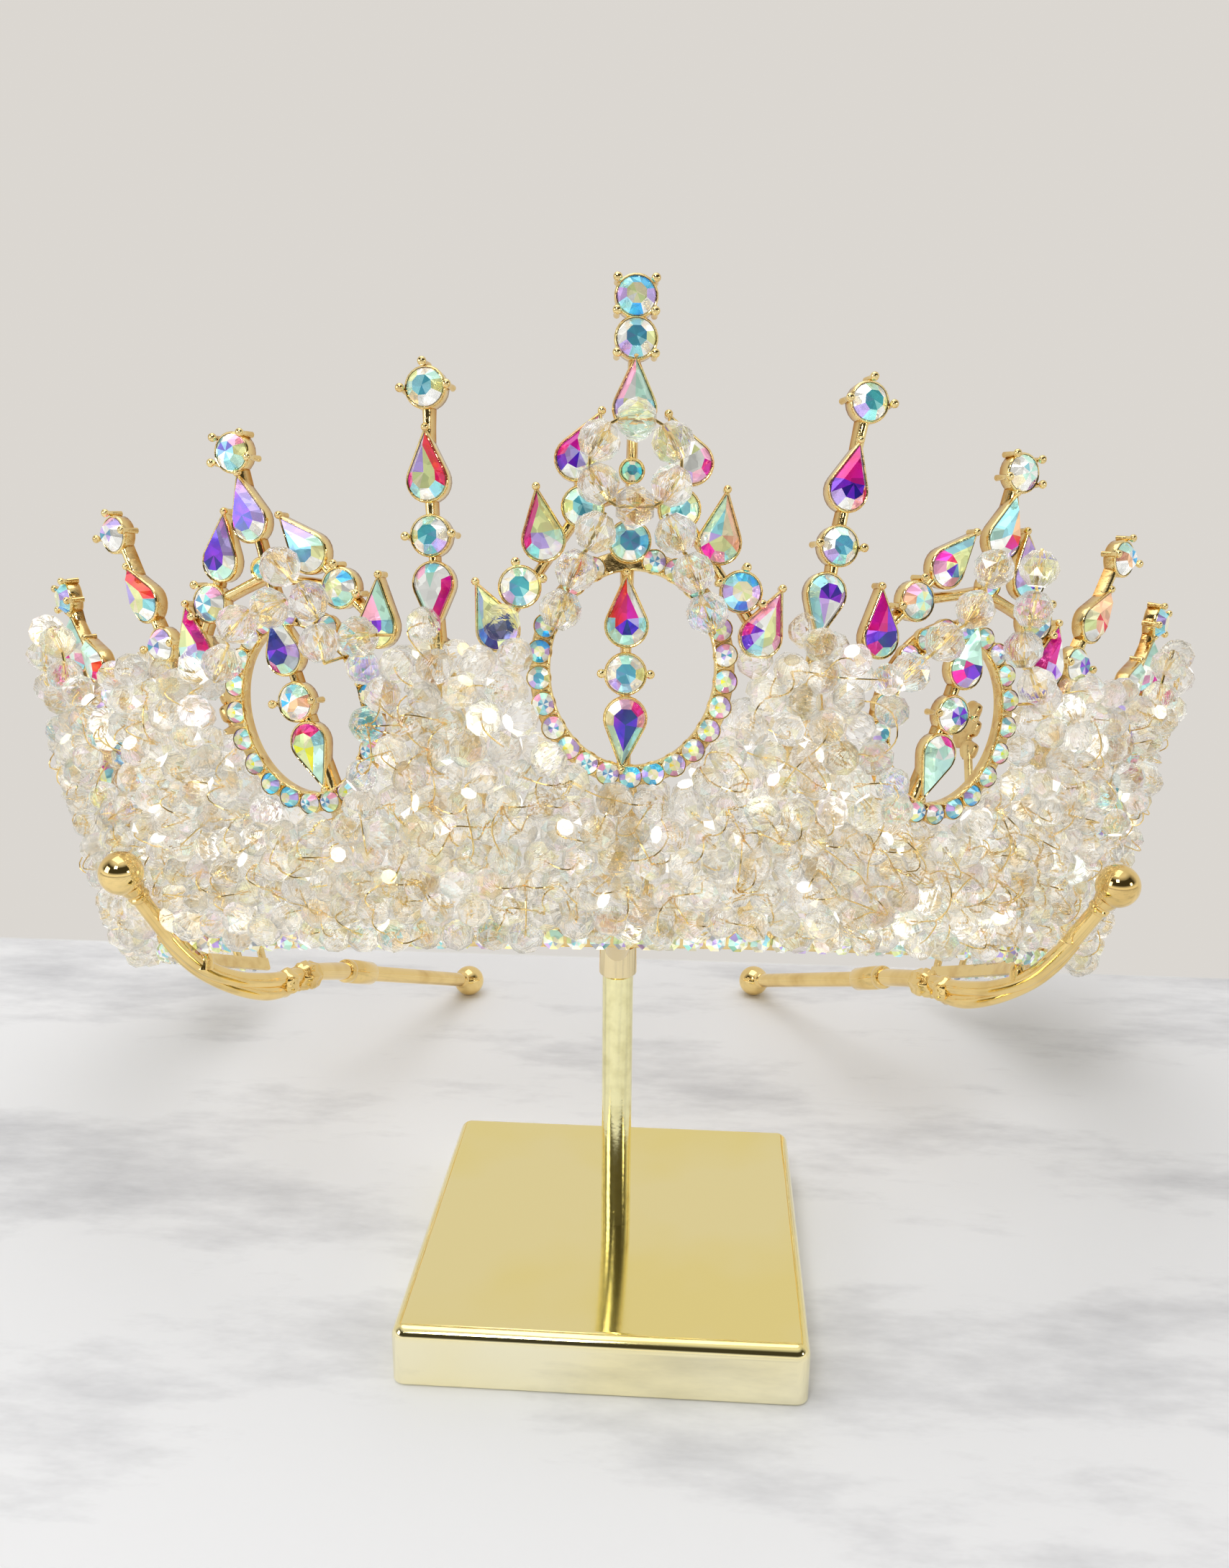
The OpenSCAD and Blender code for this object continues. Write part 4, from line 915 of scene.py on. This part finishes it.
# Beads of a garland in the motif's plane, with their threads' directions: a ring, and strands through their
# points
def garlandRows(m, name):
    rows = []
    if "ring" in m:
        x, y, r, count = m["ring"]
        a = (np.arange(count) + 0.5) * 2 * np.pi / count
        rows.append(np.stack([x + r * np.cos(a), y + r * np.sin(a), -np.sin(a), np.cos(a)], -1))
    for strand in m["strandsAt"][name]:
        p = np.array(strand, float)
        rows.append(np.column_stack([p, np.gradient(p, axis=0) if len(p) > 1 else [[1.0, 0.0]]]))
    return np.concatenate(rows)


for motif in motifs.values():
    for name, place in motif["places"].items():
        if "strandsAt" not in motif:
            continue
        rows = garlandRows(motif, name)
        axes = wallAxes(*place)
        centres = wall(*place) + np.column_stack([rows[:, :2], np.full(len(rows), garlandHeight)]) @ axes
        ahead = rows[:, 2:] @ axes[:2]
        makePiece(name + "Garland", [beadParts(centres, ahead, axes[2], garlandScale)], beadGlass,
                  [motifNode(name, "_garland_beads")], turnFaces=False)
print("garlands strung")

# Woven field: two layers of beads that fill the wall under and between the openings; mm. Layers are depth and
# jitter, falls are where the top drops, over how far and how steeply
field = {
    "half": 160.0, "foot": 3.0, "top": 50.5, "rise": 4.6, "riseAt": 79.0, "riseHalf": 15.0,
    "falls": ((86, 30, 0.25), (130, 99, 0.12)), "inset": 1.4, "edgeInset": 0.9,
    "column": 4.8, "row": 4.1, "jitter": 1.0, "layers": ((4.9, 0.7), (1.9, 0.5)), "frontFrom": 3.0,
    "startMargin": 2.5, "keepMargin": 2.0, "endMargin": 2.2, "below": 1.5, "above": 1.6,
    "spacing": 4.75, "pushes": 30, "step": 0.3, "play": 0.8, "stoneRoom": 4.1, "stoneEasing": 2.0,
    "airyFrom": 76.0, "airyShare": 0.55, "overCentre": 1.8, "overSide": 3.0, "overLift": 1.4, "overFrom": 0.3,
    "forwardAt": 88.0, "forwardHalf": 16, "forwardSpan": 4, "forward": 0.8, "tiltDegrees": 50.0,
    "sizes": (0.86, 1.0),
}


# Lower edge at u of an opening whose oval is grown by grow, or the field's top beside it: an ellipse turned by
# its lean
def underOval(u, place, m, top, grow):
    oval = m["oval"]
    a, b, t = oval[2] + grow, oval[3] + ringWidth, math.radians(oval[4])
    w = np.hypot(a * math.cos(t), b * math.sin(t))
    d = u - place[0] - oval[0]
    root = np.sqrt(np.maximum(w * w - d * d, 0))
    low = place[1] + oval[1] + (d * (b * b - a * a) * math.sin(t) * math.cos(t) - a * b * root) / (w * w)
    return np.where(np.abs(d) >= w, top, np.minimum(top, low))


# Foot and top of the field at u; front is 1 for beads that lie over the openings' metal, else 0
def fieldLimits(u, s, front=0.0):
    a, sidePlace = np.abs(u), motifs["side"]["places"]["rightSide"]
    foot = s["foot"] + s["rise"] * np.maximum(0, 1 - ((a - s["riseAt"]) / s["riseHalf"]) ** 2)
    top = s["top"] - sum(slope * np.clip(a - start, 0, length) for start, length, slope in s["falls"])
    centreGrow = ringWidth - front * np.where(u < 0, s["overCentre"], 0.0)
    sideGrow = ringWidth - front * np.where(a < sidePlace[0], s["overSide"], 0.0)
    edge = np.minimum(underOval(a, motifs["centre"]["places"]["centre"], motifs["centre"], s["top"], centreGrow),
                      underOval(a, sidePlace, motifs["side"], s["top"], sideGrow))
    return foot + s["inset"], np.minimum(edge, top) - s["edgeInset"]


# Places of all large stones on the wall as u, v
def stonePlaces():
    return np.array([[u + (-1 if u < 0 else 1) * row[1], v + row[2]] for m in motifs.values()
                     for u, v in m["places"].values() for row in m["stones"]])


# Offsets between all pairs of two lists of points, and their lengths
def gaps(a, b):
    gap = a[:, None] - b[None]
    return gap, np.linalg.norm(gap, axis=-1)


# Staggered lattice with jitter, where each bead is then pushed off the stones and off nearer beads
def spreadBeads(s):
    columns = np.arange(s["startMargin"] - s["half"], s["half"] - s["startMargin"] + 0.1, s["column"])
    rows = np.arange(s["foot"], s["top"] + s["row"], s["row"])
    layers = []
    for depth, wobble in s["layers"]:
        u, v = np.meshgrid(columns, rows)
        u = u + (np.arange(len(rows)) % 2)[:, None] * s["column"] / 2
        p = np.stack([u.ravel(), v.ravel(), np.full(u.size, depth)], -1)
        p += chance.uniform(-1, 1, p.shape) * (s["jitter"], s["jitter"], wobble)
        low, high = fieldLimits(p[:, 0], s, float(depth > s["frontFrom"]))
        inside = (p[:, 1] > low - s["below"]) & (p[:, 1] < high + s["above"])
        layers.append(p[inside & (np.abs(p[:, 0]) < s["half"] - s["keepMargin"])])
    p, stones = np.concatenate(layers), stonePlaces()
    p = p[gaps(p[:, :2], stones)[1].min(1) > s["stoneRoom"] - s["stoneEasing"]]
    inFront = p[:, 2] > s["frontFrom"]
    p = p[(np.abs(p[:, 0]) < s["airyFrom"]) | ~inFront | (chance.random(len(p)) < s["airyShare"])]
    home, front = p[:, 2].copy(), (p[:, 2] > s["frontFrom"]).astype(float)
    for turn in range(s["pushes"]):
        gap, apart = gaps(p, p)
        apart += np.eye(len(p)) * 99
        p = p + s["step"] * (np.clip(s["spacing"] - apart, 0, None)[..., None] * gap / apart[..., None]).sum(1)
        gap, apart = gaps(p[:, :2], stones)
        p[:, :2] += (np.clip(s["stoneRoom"] - apart, 0, None)[..., None] * gap / apart[..., None]).sum(1)
        low, high = fieldLimits(p[:, 0], s, front)
        p[:, 0] = np.clip(p[:, 0], s["endMargin"] - s["half"], s["half"] - s["endMargin"])
        p[:, 1] = np.clip(p[:, 1], low, np.maximum(low, high))
        p[:, 2] = np.clip(p[:, 2], home - s["play"], home + s["play"])
    p[:, 2] += s["overLift"] * (p[:, 1] > fieldLimits(p[:, 0], s)[1] + s["overFrom"])
    share = np.minimum(1, 2 * np.clip((p[:, 1] - s["foot"]) / (s["top"] - s["foot"]), 0, 1))
    near = np.clip((s["forwardHalf"] - np.abs(np.abs(p[:, 0]) - s["forwardAt"])) / s["forwardSpan"], 0, 1)
    p[:, 2] += s["forward"] * near * share
    return p


def weaveField(s):
    axes = wallAxes(spots[:, 0], spots[:, 1])
    angle = chance.uniform(0, np.pi, len(spots))
    lift = np.tan(np.radians(s["tiltDegrees"])) * chance.uniform(-1, 1, len(spots))
    ahead = np.cos(angle)[:, None] * axes[:, 0] + np.sin(angle)[:, None] * axes[:, 1] + lift[:, None] * axes[:, 2]
    beads = beadParts(wall(*spots.T), ahead, axes[:, 2], chance.uniform(*s["sizes"], len(spots)))
    makePiece("beadField", [beads], beadGlass, ["bead_field"], turnFaces=False)


spots = spreadBeads(field)
weaveField(field)
print("field of", len(spots), "beads woven")

# Wires between neighbouring beads: arcs that bow off the wall and sway along it; mm
wires = {"count": 640, "reach": 8.0, "bow": 2.8, "bowSpread": (0.5, 1.25), "sway": 1.6, "radius": 0.12, "steps": 8,
         "around": 5}


# Path from bead to bead plus a bow of 4t(1 - t), carried as a thin tube
def buildWires(s):
    gap = gaps(spots, spots)[1]
    first, second = np.nonzero(np.triu(gap < s["reach"], 1) & (spots[:, None, 2] > field["frontFrom"]))
    pick = chance.choice(len(first), min(s["count"], len(first)), replace=False)
    a, b = spots[first[pick]][:, None], spots[second[pick]][:, None]
    t = np.linspace(0, 1, s["steps"])[None]
    u, v, z = np.moveaxis(a + t[..., None] * (b - a), -1, 0)
    bow = s["bow"] * chance.uniform(*s["bowSpread"], (len(pick), 1)) * (4 * t * (1 - t))
    sway = chance.uniform(-s["sway"], s["sway"], (len(pick), 1)) * np.sin(np.pi * t)
    path = wall(u + sway, v - sway, z + bow)
    side, over = crossways(np.gradient(path, axis=1), wallAxes(u, v)[..., 2, :])
    r = np.linspace(0, 2 * np.pi, s["around"], endpoint=False)[:, None]
    circle = np.cos(r) * side[:, :, None] + np.sin(r) * over[:, :, None]
    points = seat(path[:, :, None] + s["radius"] * circle).reshape(len(pick), -1, 3)
    tubes = repeated(points, gridFaces(s["steps"], s["around"]))
    makePiece("fieldWires", [tubes], gold["wireGold"], [], 60)


buildWires(wires)

# Small stones along the band; mm. Cuts are the rings' shares of the radius and their heights
bandRow = {"pitch": 3.5, "height": 1.75, "radius": 1.66, "from": 161.0, "hues": "ppplcmipaepl",
           "cuts": ((0.9, 0.02), (1.0, 0.4), (0.5, 1.25))}


# A low cut stone at even steps along the band, its table facing out
def buildBandRow(s):
    u = np.arange(-s["from"], s["from"] + 0.1, s["pitch"])
    outline = roundOutline(s["radius"], 1)
    rings = atHeights([(k * outline, z) for k, z in s["cuts"]]).reshape(-1, 3)
    shape = np.concatenate([rings, [[0, 0, s["cuts"][-1][1]]]])
    faces = gridFaces(3, 8)[:-1] + [[16 + k, 16 + (k + 1) % 8, 24] for k in range(8)]
    points = wall(u, s["height"])[:, None] + np.einsum("kc,ncd->nkd", shape, wallAxes(u, s["height"]))
    tint = np.concatenate([tints(chance.choice(list(s["hues"]), len(faces))) for i in range(len(u))])
    makePiece("bandStones", [repeated(seat(points), faces, tint=tint)], irisGlass)


buildBandRow(bandRow)
print("band row set")

# Floor: a pale stone-like table with soft stains, and a glowing far part past its edge; metres
floorPlan = {"half": 12.0, "cells": 32, "edge": 0.128, "edgeHalf": 0.0006, "near": (0.95, 0.965, 1.0, 1),
             "far": (0.71, 0.68, 0.64, 1), "stain": (0.48, 0.49, 0.53, 1), "stretch": (0.55, 1.5, 1.0)}


def floorMaterial(s):
    material = bpy.data.materials.new("paleFloor")
    material.use_nodes = True
    tree = material.node_tree
    place = addNode(tree, "TexCoord").outputs["Object"]
    stretch = addNode(tree, "VectorMath", {0: place, 1: s["stretch"]}, operation="MULTIPLY").outputs[0]
    cloud = noise(tree, stretch, 16.0, 7.0, 0.66)
    stain = times(tree, ramp(tree, cloud, 0.49, 0.74), 0.9)
    y = addNode(tree, "SeparateXYZ", {0: place}).outputs["Y"]
    far, black = ramp(tree, y, s["edge"] - s["edgeHalf"], s["edge"] + s["edgeHalf"]), (0, 0, 0, 1)
    for key, value in {
            "Roughness": 0.6, "Base Color": mixNode(tree, far, mixNode(tree, stain, s["near"], s["stain"]), black),
            "Emission Color": mixNode(tree, far, black, s["far"]), "Emission Strength": 1.0,
            "Specular IOR Level": mathNode(tree, "SUBTRACT", 0.5, times(tree, far, 0.5)),
            "Normal": bumpFrom(tree, cloud, 0.15, 0.0004)}.items():
        feed(tree, tree.nodes["Principled BSDF"].inputs[key], value)
    return material


def buildFloor(s):
    n = s["cells"] + 1
    line = np.linspace(-s["half"], s["half"], n)
    x, y = np.meshgrid(line, line)
    corner = (np.arange(n - 1)[:, None] * n + np.arange(n - 1)).ravel()
    mesh = bpy.data.meshes.new("floor")
    mesh.from_pydata(np.stack([x, y, 0 * x], -1).reshape(-1, 3).tolist(), [],
                     np.stack([corner, corner + 1, corner + n + 1, corner + n], -1).tolist())
    mesh.materials.append(floorMaterial(s))
    floor = bpy.data.objects.new("floor", mesh)
    bpy.context.scene.collection.objects.link(floor)


buildFloor(floorPlan)

# Studio light: large soft lamps as place, aim, size (metres) and power (watts), and a pale surround
lamps = {
    "overhead": ((-0.10, 0.10, 0.80), (0.0, 0.02, 0.05), 0.6, 1.3),
    "frontLeft": ((-0.60, -0.35, 0.35), (0.0, 0.0, 0.09), 0.30, 0.8),
    "frontRight": ((0.62, -0.35, 0.30), (0.0, 0.0, 0.09), 0.14, 0.3),
    "key": ((-0.12, -0.45, 0.55), (0.0, 0.0, 0.09), 0.16, 0.9),
}
for name, (at, aim, size, power) in lamps.items():
    data = bpy.data.lights.new(name, "AREA")
    data.size, data.energy = size, power
    lamp = bpy.data.objects.new(name, data)
    turn = (Vector(at) - Vector(aim)).to_track_quat("Z", "Y")
    lamp.matrix_world = Matrix.Translation(at) @ turn.to_matrix().to_4x4()
    bpy.context.scene.collection.objects.link(lamp)

# Pale behind the tiara; towards the camera pale near the horizon, then a dark room and a pale ceiling
surround = {"pale": (0.71, 0.68, 0.64, 1), "front": (0.92, 0.90, 0.86, 1), "dark": (0.05, 0.045, 0.03, 1),
            "above": (0.85, 0.84, 0.82, 1)}


def buildSurround(s):
    world = bpy.data.worlds.new("surround")
    world.use_nodes = True
    tree = world.node_tree
    axis = addNode(tree, "SeparateXYZ", {0: addNode(tree, "TexCoord").outputs["Generated"]}).outputs
    room = mixNode(tree, ramp(tree, axis["Z"], 0.12, 0.30), s["front"], s["dark"])
    room = mixNode(tree, ramp(tree, axis["Z"], 0.70, 0.92), room, s["above"])
    seen = mixNode(tree, ramp(tree, axis["Y"], -0.25, 0.25), room, s["pale"])
    direct = addNode(tree, "LightPath").outputs["Is Camera Ray"]
    feed(tree, tree.nodes["Background"].inputs["Color"], mixNode(tree, direct, seen, s["pale"]))
    bpy.context.scene.world = world


buildSurround(surround)
bpy.context.scene.view_settings.view_transform = "Standard"
print("stage and light set")
